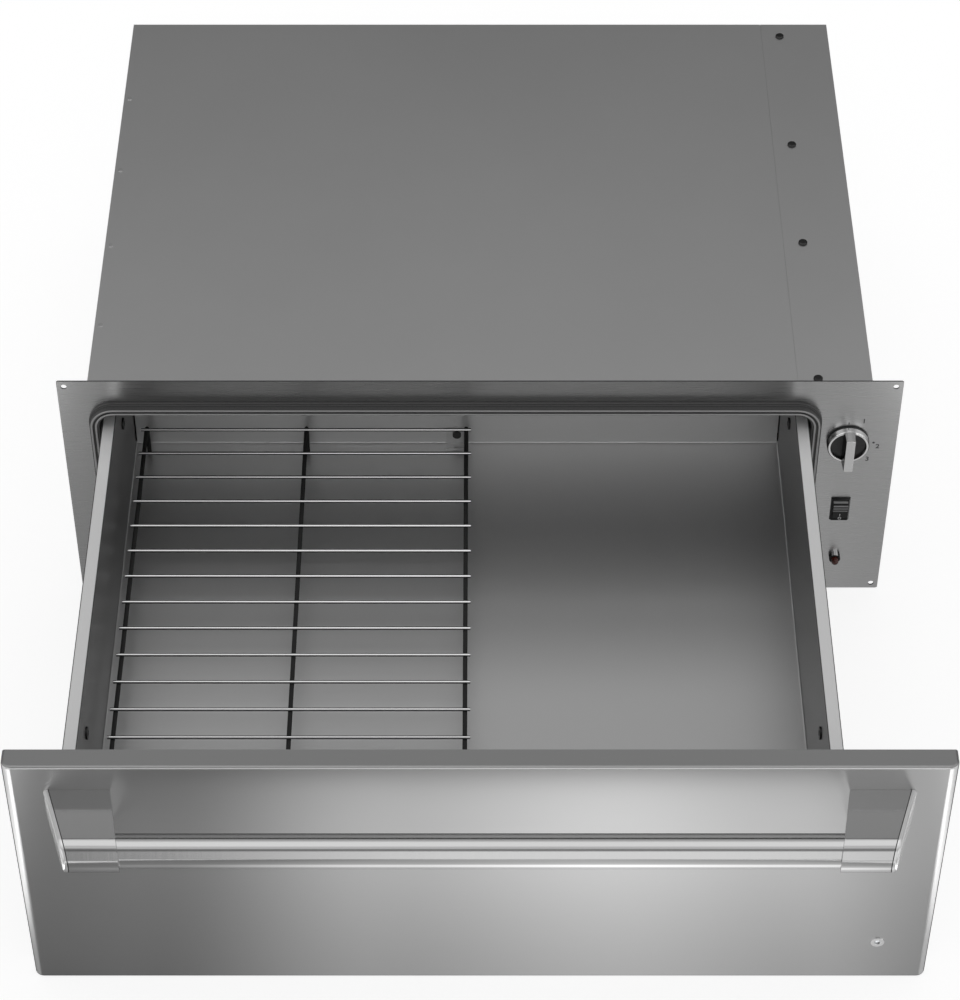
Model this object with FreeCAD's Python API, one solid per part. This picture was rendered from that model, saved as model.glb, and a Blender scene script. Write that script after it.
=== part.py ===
"""Built-in warming drawer, 30 inch class, with its drawer pulled out to the stops.

Frame of the model, in millimetres: the origin is the centre of the four screw holes
on the rear (mounting) face of the front frame. +X is to the right of a person who
faces the drawer, +Y goes back into the cabinet and +Z is up.
"""
import FreeCAD, Part
import math
import os

V = FreeCAD.Vector
os.makedirs("parts", exist_ok=True)

# ---------------------------------------------------------------- driving sizes
# sheet thicknesses
FRAME_SHEET = 1.5
CASE_SHEET = 0.8
LINER_SHEET = 0.8
PANEL_SHEET = 1.0
PAN_SHEET = 0.9

# front frame
FRAME_WIDTH = 754.2
FRAME_HEIGHT = 265.3
FRAME_CORNER = 2.0
HOLE_INSET = 6.5
HOLE_RADIUS = 2.6

# outer case, measured over its sheets
CASE_WIDTH = 704.0
CASE_HEIGHT = 232.6
CASE_RISE = 1.1             # case centre above the frame centre
CASE_FLANGE = 12.0          # inward flanges of the left side sheet

# drawer pan
PAN_WIDTH = 612.0           # inside
PAN_DEPTH = 545.8           # inside, front to back
PAN_HEIGHT = 129.6          # inside, floor to lip
PAN_LIP_TOP = 84.4          # height of the lip's top face
PAN_OFFSET = -22.0          # pan centre, left of the frame centre
LIP_WIDTH = 10.5
LIP_HEM = 5.0
DRAWER_TRAVEL = 428.6
PAN_BEND = 2.0              # inside radius of the bends round the floor
PAN_CORNER_SLIT = 1.2       # open joint at both ends of the back wall

# heated cavity
SLIDE_SPACE = 12.7          # pan wall to liner wall
LINER_TOP = 98.6
LINER_BOTTOM = -94.5
PAN_BACK_CLEARANCE = 3.0
SIDE_INSULATION = 8.8
BACK_INSULATION = 10.6
FRAME_OPENING_CORNER = 13.5

# door gasket
GASKET_WIDTH = 10.0
GASKET_DEPTH = 10.0
GASKET_BASE = 3.0
GASKET_STEP = 2.0
GASKET_GAP = 0.5            # free gap to the closed front panel

# front panel
PANEL_WIDTH = 755.6
PANEL_HEIGHT = 272.3
PANEL_DEPTH = 18.9
PANEL_SIDE_RADIUS = 8.0
PANEL_TOP_RADIUS = 2.4
CLOSED_GAP = 4.0            # panel rim to frame, closed
PANEL_LINER_EDGE = 4.0      # depth of the liner's turned edge
PANEL_LINER_SHEET = 0.8

# handle
HANDLE_RADIUS = 14.0
HANDLE_STANDOFF = 48.8      # panel face to bar axis
HANDLE_HEIGHT = 92.7        # bar axis above the frame centre
BRACKET_WALL = 2.6          # round the bar
BRACKET_OUTER_FOOT = 346.2
BRACKET_INNER_FOOT = 293.1
BRACKET_OUTER_NOSE = 331.0
BRACKET_INNER_NOSE = 284.8
BRACKET_EDGE = 3.0
BAR_SOCKET = 8.0            # bar's reach past the bracket's inner nose
FIT_GAP = 0.05
HANDLE_SCREW_RADIUS = 2.5
HANDLE_SCREW_HEAD = 4.5
HANDLE_SCREW_PITCH = 18.0
HANDLE_SCREW_DEPTH = 12.0   # thread in the bracket
HANDLE_SCREW_HEAD_THICK = 2.4

# controls, all on one vertical line of the frame
CONTROL_X = 333.0
KNOB_HEIGHT = 59.2
KNOB_RADIUS = 19.2
KNOB_THICK = 7.4
KNOB_GAP = 0.6
KNOB_FLANGE = 1.6           # dark flange behind the bright ring
KNOB_STEP = 0.3             # flange edge to ring
KNOB_BEVEL = 0.8
KNOB_RIM = 2.6              # wall of the ring
KNOB_DISH = 2.6             # depth of the dish
GRIP_REACH = 12.4           # grip in front of the knob's rim
GRIP_BASE = 11.0
GRIP_TIP = 8.2
SHAFT_RADIUS = 3.0
NECK_RADIUS = 4.75
NUT_ACROSS = 14.0
NUT_THICK = 2.4
THERMOSTAT_WIDTH = 32.0
THERMOSTAT_HEIGHT = 44.0
THERMOSTAT_DEPTH = 36.0
THERMOSTAT_STEP = 8.0
SWITCH_HEIGHT = -26.0
SWITCH_WIDTH = 18.0
SWITCH_LENGTH = 28.6
SWITCH_BEZEL = 3.0
SWITCH_TAPER = 1.5          # how much the bezel narrows towards its face
SWITCH_RIM = 1.2
SWITCH_WALL = 0.8
SWITCH_BODY_DEPTH = 24.0
SWITCH_ANGLE = 14.0
SWITCH_PIVOT_DEPTH = 3.0
SWITCH_PIN_RADIUS = 1.4
ROCKER_CLEARANCE = 0.3      # to the housing, all round
ROCKER_PROUD = 1.2          # its middle line, in front of the bezel's face
ROCKER_KEEL = 4.2           # from the pivot to the keel that works the contacts
ROCKER_KEEL_HALF = 2.0
ROCKER_EDGE = 1.2           # from the pivot back to the ends of the rocker
ROCKER_GROOVES = 4
ROCKER_GROOVE_PITCH = 2.6
ROCKER_GROOVE_RADIUS = 0.7
LAMP_HEIGHT = -89.0
LAMP_RADIUS = 3.4
LAMP_REACH = 6.5
LAMP_BEZEL_RADIUS = 5.2
LAMP_BEZEL_THICK = 4.6
LAMP_BODY_LENGTH = 20.0
LAMP_BODY_INSET = 1.2       # bezel edge to body
LAMP_SEAT = 11.0            # how far the lens goes into the body
WINDOW_RADIUS = 5.6
WINDOW_RIM = 1.5
WINDOW_PROUD = 0.8
WINDOW_NECK = 4.0
WINDOW_SUNK = 0.4           # lens face behind the ring's face

# telescopic slides
RAIL_HEIGHT = 45.0
RAIL_CENTRE = 46.0
RAIL_LENGTH = 500.0
RAIL_SETBACK = 5.0
RAIL_SHEET = 1.2
RAIL_BALL_GAP = 4.3
OUTER_RAIL_DEPTH = 9.5
MID_RAIL_START = 3.9
MID_RAIL_DEPTH = 6.4
INNER_RAIL_DEPTH = 6.7
BALL_CLEARANCE = 0.3
BALL_COUNT = 3
CAGE_LENGTH = 110.0
CAGE_SHEET = 0.8
CAGE_WIDTH = 4.4
CAGE_INSET = 10.0
RAIL_SCREW_RADIUS = 2.5
RAIL_SCREW_HEAD = 5.6
RAIL_SCREW_HEAD_THICK = 1.8
RAIL_SCREW_RECESS = 2.8
RAIL_SCREW_RECESS_DEPTH = 1.2
RAIL_SCREW_SPARE = 0.6      # shank past the inner rail's web
RAIL_SCREW_BACK = 36.0      # rear wall screw, behind the frame when open
RAIL_SCREW_FRONT = -339.0

# wire rack
RACK_LEFT_GAP = 9.5         # pan wall to wire ends
RACK_WIDTH = 310.0
RACK_PITCH = 31.8
RACK_WIRES = 17
RACK_REAR_WIRE = 22.3       # pan back wall to the rearmost cross wire
RACK_WIRE_RADIUS = 1.5
RACK_RAIL_RADIUS = 2.0
RACK_HEIGHT = 38.1          # floor to cross wire centre
RACK_OVERHANG = 2.5
RACK_LEG_REACH = 8.0
RACK_LIFT_GAP = 0.2
RACK_WELD = 0.4             # cross wires sunk into the rails
RACK_BEND = 5.0             # centre line of the rails' end bends

# heating element under the pan
ELEMENT_RADIUS = 3.25
ELEMENT_RISE = 16.0
ELEMENT_ROWS = 4
ELEMENT_PITCH = 110.0
ELEMENT_FRONT = 150.0
ELEMENT_BEND_MARGIN = 90.0
ELEMENT_BUSH_RADIUS = 7.0
ELEMENT_PIN_LENGTH = 16.0
SUPPORT_WIDTH = 12.0
SUPPORT_COUNT = 3
SUPPORT_SPACING = 190.0
SUPPORT_SHEET = 1.0
SUPPORT_SPARE = 12.0        # past the first and last tube rows
ELEMENT_BUSH_SPARE = 3.0    # bush past the bay wall

# sheet seams and small fasteners
SEAM_X = 284.5
SEAM_GAP = 0.5
COVER_SCREW_X = 303.2
COVER_SCREW_RADIUS = 1.8
COVER_SCREW_HEAD = 4.2
COVER_SCREW_TALL = 2.2
COVER_SCREW_REACH = 4.5
COVER_SCREW_Y = (18.5, 207.2, 354.6, 530.0)
RIVET_X_INSET = 5.6
RIVET_RADIUS = 1.3
RIVET_HEAD = 2.2
RIVET_TALL = 0.9
RIVET_FIRST = 91.3
RIVET_PITCH = 112.3
RIVET_COUNT = 4

# power side
INLET_RADIUS = 11.0
INLET_HEIGHT = -70.0
INLET_LENGTH = 14.0
INLET_BORE = 4.0
INLET_LIP = 2.0
INLET_LIP_THICK = 3.0
TERMINAL_SIZE = (26.0, 60.0, 22.0)
TERMINAL_SLOTS = 3
TERMINAL_SLOT = 3.0
TERMINAL_SLOT_DEPTH = 8.8
TERMINAL_BACK_GAP = 60.0
SENSOR_RADIUS = 3.0
SENSOR_LENGTH = 80.0
SENSOR_HEIGHT = -20.0
SENSOR_BACK_GAP = 150.0
SENSOR_CLIP = 1.0
SENSOR_CLIP_WIDTH = 8.0
SENSOR_CLIP_INSET = 12.0
SENSOR_CLIP_FOOT = 8.8      # sensor axis to the ends of the clip's foot

# rear clip of the pan
CLIP_WIDTH = 20.0
CLIP_HEIGHT = 20.0
CLIP_FOOT = 9.0
CLIP_SHEET = 1.2
CLIP_SCREW_RISE = 12.0
CLIP_SCREW_RADIUS = 2.0
CLIP_SCREW_HEAD = 4.0
CLIP_SCREW_HEAD_THICK = 1.8
CLIP_SCREW_SPARE = 1.0

# ---------------------------------------------------------------- worked out sizes
FRAME_FRONT = -FRAME_SHEET
PAN_OUTER_HALF = PAN_WIDTH / 2 + PAN_SHEET
LINER_HALF = PAN_OUTER_HALF + SLIDE_SPACE
LINER_LEFT = PAN_OFFSET - LINER_HALF
LINER_RIGHT = PAN_OFFSET + LINER_HALF
PAN_FLOOR = PAN_LIP_TOP - PAN_HEIGHT
PANEL_FACE = FRAME_FRONT - CLOSED_GAP - PANEL_DEPTH - DRAWER_TRAVEL
PANEL_RIM = PANEL_FACE + PANEL_DEPTH
PANEL_SKIN_BACK = PANEL_FACE + PANEL_SHEET
LINER_FACE = FRAME_FRONT - GASKET_DEPTH - GASKET_GAP - DRAWER_TRAVEL
PAN_FRONT = LINER_FACE
PAN_BACK_INNER = PAN_FRONT + PAN_SHEET + PAN_DEPTH
PAN_BACK = PAN_BACK_INNER + PAN_SHEET
LINER_BACK = PAN_BACK + DRAWER_TRAVEL + PAN_BACK_CLEARANCE
CASE_BACK_INNER = LINER_BACK + LINER_SHEET + BACK_INSULATION
CASE_BACK = CASE_BACK_INNER + CASE_SHEET
CASE_TOP = CASE_RISE + CASE_HEIGHT / 2
CASE_BOTTOM = CASE_RISE - CASE_HEIGHT / 2
CASE_HALF = CASE_WIDTH / 2
BAY_WALL_X = LINER_RIGHT + LINER_SHEET + SIDE_INSULATION
RACK_WIRE_Z = PAN_FLOOR + RACK_HEIGHT
GASKET_FRONT = FRAME_FRONT - GASKET_DEPTH

# tools that cut right through thin sheets start this far outside and are this long
CUT_LEAD = 1.0
WALL_CUT = 2 * (SIDE_INSULATION + LINER_SHEET + CASE_SHEET)
SKIN_CUT = 5.0

NODES = {}


def keep(name, *solids):
    """Store one node: a single solid, or a group of separate equal solids."""
    NODES[name] = solids[0] if len(solids) == 1 else Part.makeCompound(list(solids))


def box(x0, x1, y0, y1, z0, z1):
    low = V(min(x0, x1), min(y0, y1), min(z0, z1))
    return Part.makeBox(abs(x1 - x0), abs(y1 - y0), abs(z1 - z0), low)


def rod(x, y, z, radius, length, axis="y"):
    """A cylinder that starts at the point and runs along +axis."""
    direction = {"x": V(1, 0, 0), "y": V(0, 1, 0), "z": V(0, 0, 1)}[axis]
    return Part.makeCylinder(radius, length, V(x, y, z), direction)


def joined(solids):
    whole = solids[0].multiFuse(solids[1:]) if len(solids) > 1 else solids[0]
    return whole.removeSplitter()


def prism(points, direction):
    """Extrude a closed outline of straight sides."""
    outline = [V(*p) for p in points]
    return Part.Face(Part.makePolygon(outline + outline[:1])).extrude(V(*direction))


def rectangle(x, z, half_w, half_l, y):
    """A closed wire in the XZ plane, for lofts."""
    corners = [(-half_w, -half_l), (half_w, -half_l), (half_w, half_l), (-half_w, half_l), (-half_w, -half_l)]
    return Part.makePolygon([V(x + dx, y, z + dz) for dx, dz in corners])


def rounded_slab(x0, x1, z0, z1, radius, y, depth):
    """A slab in the XZ plane whose four corners are round, from y towards +Y."""
    slab = box(x0, x1, y, y + depth, z0, z1)
    corners = [e for e in slab.Edges if abs(e.BoundBox.YLength - depth) < 1e-6]
    return slab.makeFillet(radius, corners)


def mirrored(solid, x=0.0):
    return solid.mirror(V(x, 0, 0), V(1, 0, 0))


def opening_ring(grow_out, grow_in, front, back):
    """A rounded ring round the cavity mouth; sizes grow outwards from the opening."""
    def slab(grow):
        return rounded_slab(LINER_LEFT - grow, LINER_RIGHT + grow, LINER_BOTTOM - grow,
                            LINER_TOP + grow, FRAME_OPENING_CORNER + grow, front, back - front)
    return slab(grow_out).cut(slab(grow_in))


# ---------------------------------------------------------------- case
def hole_places():
    half_x = FRAME_WIDTH / 2 - HOLE_INSET
    half_z = FRAME_HEIGHT / 2 - HOLE_INSET
    return [(sx * half_x, sz * half_z) for sx in (-1, 1) for sz in (-1, 1)]


def front_frame():
    half_x = FRAME_WIDTH / 2
    half_z = FRAME_HEIGHT / 2
    sheet = rounded_slab(-half_x, half_x, -half_z, half_z, FRAME_CORNER, FRAME_FRONT, FRAME_SHEET)
    mouth = rounded_slab(LINER_LEFT, LINER_RIGHT, LINER_BOTTOM, LINER_TOP,
                         FRAME_OPENING_CORNER, FRAME_FRONT - 1, FRAME_SHEET + 2)
    cuts = [mouth]
    for x, z in hole_places():
        cuts.append(rod(x, FRAME_FRONT - 1, z, HOLE_RADIUS, FRAME_SHEET + 2))
    cuts.append(rod(CONTROL_X, FRAME_FRONT - 1, KNOB_HEIGHT, NECK_RADIUS + FIT_GAP, FRAME_SHEET + 2))
    cuts.append(rod(CONTROL_X, FRAME_FRONT - 1, LAMP_HEIGHT, lamp_body_radius(), FRAME_SHEET + 2))
    half_w = SWITCH_WIDTH / 2 - SWITCH_RIM
    half_l = SWITCH_LENGTH / 2 - SWITCH_RIM
    cuts.append(box(CONTROL_X - half_w, CONTROL_X + half_w, FRAME_FRONT - 1, 1,
                    SWITCH_HEIGHT - half_l, SWITCH_HEIGHT + half_l))
    keep("front_frame", sheet.cut(cuts))


def opening_gasket():
    """A ribbed collar: a base, a stepped body and two thin lips at its front."""
    base = opening_ring(GASKET_WIDTH, 0, FRAME_FRONT - GASKET_BASE, FRAME_FRONT)
    body = opening_ring(GASKET_WIDTH - GASKET_STEP, 0, FRAME_FRONT - GASKET_DEPTH + GASKET_STEP,
                        FRAME_FRONT - GASKET_BASE)
    outer_lip = opening_ring(GASKET_WIDTH - GASKET_STEP, GASKET_WIDTH - 2 * GASKET_STEP,
                             GASKET_FRONT, FRAME_FRONT - GASKET_DEPTH + GASKET_STEP)
    inner_lip = opening_ring(2 * GASKET_STEP, GASKET_STEP,
                             GASKET_FRONT, FRAME_FRONT - GASKET_DEPTH + GASKET_STEP)
    keep("opening_gasket", joined([base, body, outer_lip, inner_lip]))


def cover_screw_holes():
    low = CASE_TOP - SKIN_CUT
    return [rod(COVER_SCREW_X, y, low, COVER_SCREW_RADIUS, 2 * SKIN_CUT, "z") for y in COVER_SCREW_Y]


def rivet_places():
    return [RIVET_FIRST + i * RIVET_PITCH for i in range(RIVET_COUNT)]


def rivet_x():
    return -CASE_HALF + RIVET_X_INSET


def rivet_holes():
    return [rod(rivet_x(), y, CASE_TOP - SKIN_CUT, RIVET_RADIUS, 2 * SKIN_CUT, "z") for y in rivet_places()]


def case_sheets():
    """Top, left side, control cover, bottom and back of the outer case."""
    top_z = CASE_TOP - CASE_SHEET
    floor_z = CASE_BOTTOM + CASE_SHEET
    top = box(-CASE_HALF, SEAM_X, 0, CASE_BACK, top_z, CASE_TOP)
    keep("case_top", top.cut(rivet_holes()))

    left = box(-CASE_HALF, -CASE_HALF + CASE_SHEET, 0, CASE_BACK_INNER, floor_z, top_z)
    for z in (floor_z, top_z - CASE_SHEET):
        left = left.fuse(box(-CASE_HALF, -CASE_HALF + CASE_FLANGE, 0, CASE_BACK_INNER, z, z + CASE_SHEET))
    keep("case_left_side", left.removeSplitter().cut(rivet_holes()))

    cover_top = box(SEAM_X + SEAM_GAP, CASE_HALF, 0, CASE_BACK, top_z, CASE_TOP)
    cover_side = box(CASE_HALF - CASE_SHEET, CASE_HALF, 0, CASE_BACK, floor_z, CASE_TOP)
    keep("control_cover", joined([cover_top, cover_side]).cut(cover_screw_holes()))

    keep("case_bottom", box(-CASE_HALF, CASE_HALF, 0, CASE_BACK, CASE_BOTTOM, floor_z))

    back = box(-CASE_HALF, CASE_HALF - CASE_SHEET, CASE_BACK_INNER, CASE_BACK, floor_z, top_z)
    inlet = rod(CONTROL_X, CASE_BACK_INNER - CUT_LEAD, INLET_HEIGHT, INLET_RADIUS, SKIN_CUT)
    keep("case_back", back.cut(inlet))


def bay_partition():
    """The wall between the cavity and the control bay, with its screw flange on top."""
    top_z = CASE_TOP - CASE_SHEET
    wall = box(BAY_WALL_X, BAY_WALL_X + CASE_SHEET, 0, CASE_BACK_INNER, CASE_BOTTOM + CASE_SHEET, top_z)
    flange = box(SEAM_X - CASE_FLANGE, BAY_WALL_X + CASE_SHEET, 0, CASE_BACK_INNER,
                 top_z - CASE_SHEET, top_z)
    cuts = cover_screw_holes()
    for y in element_exits():
        cuts.append(rod(LINER_RIGHT - CUT_LEAD, y, element_z(), ELEMENT_BUSH_RADIUS, WALL_CUT, "x"))
    keep("bay_partition", joined([wall, flange]).cut(cuts))


def cover_fasteners():
    screws = []
    for y in COVER_SCREW_Y:
        shank = rod(COVER_SCREW_X, y, CASE_TOP - COVER_SCREW_REACH, COVER_SCREW_RADIUS,
                    COVER_SCREW_REACH, "z")
        head = rod(COVER_SCREW_X, y, CASE_TOP, COVER_SCREW_HEAD, COVER_SCREW_TALL, "z")
        crown = [e for e in head.Edges if abs(e.BoundBox.ZMin - CASE_TOP - COVER_SCREW_TALL) < 1e-6]
        screws.append(shank.fuse(head.makeFillet(COVER_SCREW_TALL * 0.6, crown)).removeSplitter())
    keep("cover_screws", *screws)
    rivets = []
    for y in rivet_places():
        shank = rod(rivet_x(), y, CASE_TOP - 2 * CASE_SHEET, RIVET_RADIUS, 2 * CASE_SHEET, "z")
        head = rod(rivet_x(), y, CASE_TOP, RIVET_HEAD, RIVET_TALL, "z")
        rivets.append(joined([shank, head]))
    keep("top_rivets", *rivets)


# ---------------------------------------------------------------- heated cavity
def element_z():
    return LINER_BOTTOM + ELEMENT_RISE


def element_rows():
    return [ELEMENT_FRONT + i * ELEMENT_PITCH for i in range(ELEMENT_ROWS)]


def element_exits():
    rows = element_rows()
    return [rows[0], rows[-1]]


def cavity_liner():
    outer = box(LINER_LEFT - LINER_SHEET, LINER_RIGHT + LINER_SHEET, 0, LINER_BACK + LINER_SHEET,
                LINER_BOTTOM - LINER_SHEET, LINER_TOP + LINER_SHEET)
    inner = box(LINER_LEFT, LINER_RIGHT, -1, LINER_BACK, LINER_BOTTOM, LINER_TOP)
    holes = [rod(LINER_RIGHT - CUT_LEAD, y, element_z(), ELEMENT_BUSH_RADIUS, WALL_CUT, "x")
             for y in element_exits()]
    keep("cavity_liner", outer.cut([inner] + holes))


def cavity_insulation():
    left = LINER_LEFT - LINER_SHEET
    right = LINER_RIGHT + LINER_SHEET
    low = LINER_BOTTOM - LINER_SHEET
    high = LINER_TOP + LINER_SHEET
    back = LINER_BACK + LINER_SHEET
    under_top = CASE_TOP - 2 * CASE_SHEET
    over_floor = CASE_BOTTOM + 2 * CASE_SHEET
    keep("insulation_top", box(left, right, 0, back, high, under_top))
    keep("insulation_bottom", box(left, right, 0, back, over_floor, low))
    keep("insulation_left", box(-CASE_HALF + CASE_SHEET, left, 0, back, over_floor, under_top))
    bushes = [rod(LINER_RIGHT - CUT_LEAD, y, element_z(), ELEMENT_BUSH_RADIUS, WALL_CUT, "x")
              for y in element_exits()]
    side = box(right, BAY_WALL_X, 0, back, over_floor, under_top)
    keep("insulation_right", side.cut(bushes + cover_screw_holes()))
    keep("insulation_back", box(-CASE_HALF + CASE_SHEET, BAY_WALL_X, back, CASE_BACK_INNER,
                                over_floor, under_top))


def heating_element():
    """A tube in long loops on the cavity floor; both ends leave through the right wall."""
    z = element_z()
    near = LINER_RIGHT - ELEMENT_BEND_MARGIN
    far = LINER_LEFT + ELEMENT_BEND_MARGIN
    bend = ELEMENT_PITCH / 2
    pin_end = BAY_WALL_X + CASE_SHEET + ELEMENT_PIN_LENGTH
    edges = []
    x = pin_end
    for i, y in enumerate(element_rows()):
        going_left = i % 2 == 0
        last = i == ELEMENT_ROWS - 1
        stop = far if going_left else near
        stop = pin_end if last else stop
        edges.append(Part.LineSegment(V(x, y, z), V(stop, y, z)).toShape())
        if not last:
            side = -bend if going_left else bend
            edges.append(Part.Arc(V(stop, y, z), V(stop + side, y + bend, z),
                                  V(stop, y + ELEMENT_PITCH, z)).toShape())
        x = stop
    section = Part.Wire(Part.Circle(V(pin_end, ELEMENT_FRONT, z), V(1, 0, 0), ELEMENT_RADIUS).toShape())
    keep("heating_element", Part.Wire(edges).makePipeShell([section], True, False))


def element_fittings():
    z = element_z()
    length = BAY_WALL_X + CASE_SHEET + ELEMENT_BUSH_SPARE - LINER_RIGHT
    bushes = []
    for y in element_exits():
        outer = rod(LINER_RIGHT, y, z, ELEMENT_BUSH_RADIUS, length, "x")
        bushes.append(outer.cut(rod(LINER_RIGHT - CUT_LEAD, y, z, ELEMENT_RADIUS, WALL_CUT, "x")))
    keep("element_bushes", *bushes)
    rows = element_rows()
    half = SUPPORT_WIDTH / 2
    top = z - ELEMENT_RADIUS
    for i in range(SUPPORT_COUNT):
        x = PAN_OFFSET + (i - (SUPPORT_COUNT - 1) / 2) * SUPPORT_SPACING
        y0 = rows[0] - SUPPORT_SPARE
        y1 = rows[-1] + SUPPORT_SPARE
        channel = box(x - half, x + half, y0, y1, LINER_BOTTOM, top)
        hollow = box(x - half + SUPPORT_SHEET, x + half - SUPPORT_SHEET, y0 - 1, y1 + 1,
                     LINER_BOTTOM - 1, top - SUPPORT_SHEET)
        keep("element_support_%d" % (i + 1), channel.cut(hollow))


def sensor():
    """The thermostat's bulb, held on the right cavity wall by two clips."""
    x = LINER_RIGHT - SENSOR_CLIP - SENSOR_RADIUS
    y = LINER_BACK - SENSOR_BACK_GAP
    keep("sensor_bulb", rod(x, y, SENSOR_HEIGHT, SENSOR_RADIUS, SENSOR_LENGTH))
    clips = []
    for y_clip in (y + SENSOR_CLIP_INSET, y + SENSOR_LENGTH - SENSOR_CLIP_INSET - SENSOR_CLIP_WIDTH):
        block = rod(x, y_clip, SENSOR_HEIGHT, SENSOR_RADIUS + SENSOR_CLIP, SENSOR_CLIP_WIDTH)
        foot = box(LINER_RIGHT - SENSOR_CLIP, LINER_RIGHT, y_clip, y_clip + SENSOR_CLIP_WIDTH,
                   SENSOR_HEIGHT - SENSOR_CLIP_FOOT, SENSOR_HEIGHT + SENSOR_CLIP_FOOT)
        bulb_space = rod(x, y_clip - 1, SENSOR_HEIGHT, SENSOR_RADIUS, SENSOR_CLIP_WIDTH + 2)
        clips.append(joined([block, foot]).cut(bulb_space))
    keep("sensor_clips", *clips)


# ---------------------------------------------------------------- controls
def lamp_body_radius():
    return LAMP_BEZEL_RADIUS - LAMP_BODY_INSET


def hexagon(across, x, z, y, depth):
    reach = across / math.sqrt(3)
    points = [(x + reach * math.cos(math.radians(60 * i)), y, z + reach * math.sin(math.radians(60 * i)))
              for i in range(6)]
    return prism(points, (0, depth, 0))


def thermostat():
    neck_front = FRAME_FRONT - NUT_THICK
    body = box(CONTROL_X - THERMOSTAT_WIDTH / 2, CONTROL_X + THERMOSTAT_WIDTH / 2,
               THERMOSTAT_STEP, THERMOSTAT_STEP + THERMOSTAT_DEPTH,
               KNOB_HEIGHT - THERMOSTAT_HEIGHT / 2, KNOB_HEIGHT + THERMOSTAT_HEIGHT / 2)
    shoulder = rod(CONTROL_X, 0, KNOB_HEIGHT, NECK_RADIUS * 1.8, THERMOSTAT_STEP)
    neck = rod(CONTROL_X, neck_front, KNOB_HEIGHT, NECK_RADIUS, -neck_front)
    bore = rod(CONTROL_X, neck_front - 1, KNOB_HEIGHT, SHAFT_RADIUS + FIT_GAP,
               THERMOSTAT_STEP + THERMOSTAT_DEPTH / 2 + 1 - neck_front)
    keep("thermostat_body", joined([body, shoulder, neck]).cut(bore))
    nut = hexagon(NUT_ACROSS, CONTROL_X, KNOB_HEIGHT, neck_front, NUT_THICK)
    keep("thermostat_nut", nut.cut(rod(CONTROL_X, neck_front - 1, KNOB_HEIGHT, NECK_RADIUS, NUT_THICK + 2)))


def knob():
    """Skirted knob: a dark flange and dish, a bevelled bright ring, a tapered bar grip, a shaft."""
    back = FRAME_FRONT - KNOB_GAP
    front = back - KNOB_THICK
    dish = front + KNOB_DISH
    ring_back = back - KNOB_FLANGE
    ring_radius = KNOB_RADIUS - KNOB_STEP
    dish_radius = ring_radius - KNOB_RIM
    hub_room = NUT_ACROSS / math.sqrt(3) + 1.0
    room_depth = NUT_THICK + 1.0 - KNOB_GAP
    flange = rod(CONTROL_X, ring_back, KNOB_HEIGHT, KNOB_RADIUS, KNOB_FLANGE)
    middle = rod(CONTROL_X, dish, KNOB_HEIGHT, dish_radius, ring_back - dish)
    body = joined([flange, middle])
    body = body.cut(rod(CONTROL_X, back - room_depth, KNOB_HEIGHT, hub_room, room_depth + 1))
    body = body.cut(rod(CONTROL_X, front, KNOB_HEIGHT, SHAFT_RADIUS, KNOB_THICK + 1))
    keep("knob_body", body)

    ring = rod(CONTROL_X, front, KNOB_HEIGHT, ring_radius, ring_back - front)
    ring = ring.makeChamfer(KNOB_BEVEL, [e for e in ring.Edges if abs(e.BoundBox.YMax - front) < 1e-6])
    ring = ring.cut(rod(CONTROL_X, front - CUT_LEAD, KNOB_HEIGHT, dish_radius, KNOB_THICK))
    keep("knob_ring", ring)

    # The grip spans the dish and rests on the ring at both ends.
    tip = front - GRIP_REACH
    base = GRIP_BASE / 2
    nose = GRIP_TIP / 2
    low = KNOB_HEIGHT - KNOB_RADIUS
    bar = prism([(CONTROL_X - base, ring_back, low), (CONTROL_X + base, ring_back, low),
                 (CONTROL_X + nose, tip, low), (CONTROL_X - nose, tip, low)], (0, 0, 2 * KNOB_RADIUS))
    bar = bar.common(rod(CONTROL_X, tip, KNOB_HEIGHT, ring_radius, ring_back - tip))
    keep("knob_grip", bar.cut([ring, middle]))
    shaft_end = THERMOSTAT_STEP + THERMOSTAT_DEPTH / 2 - 2
    keep("knob_shaft", rod(CONTROL_X, dish, KNOB_HEIGHT, SHAFT_RADIUS, shaft_end - dish))


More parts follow.
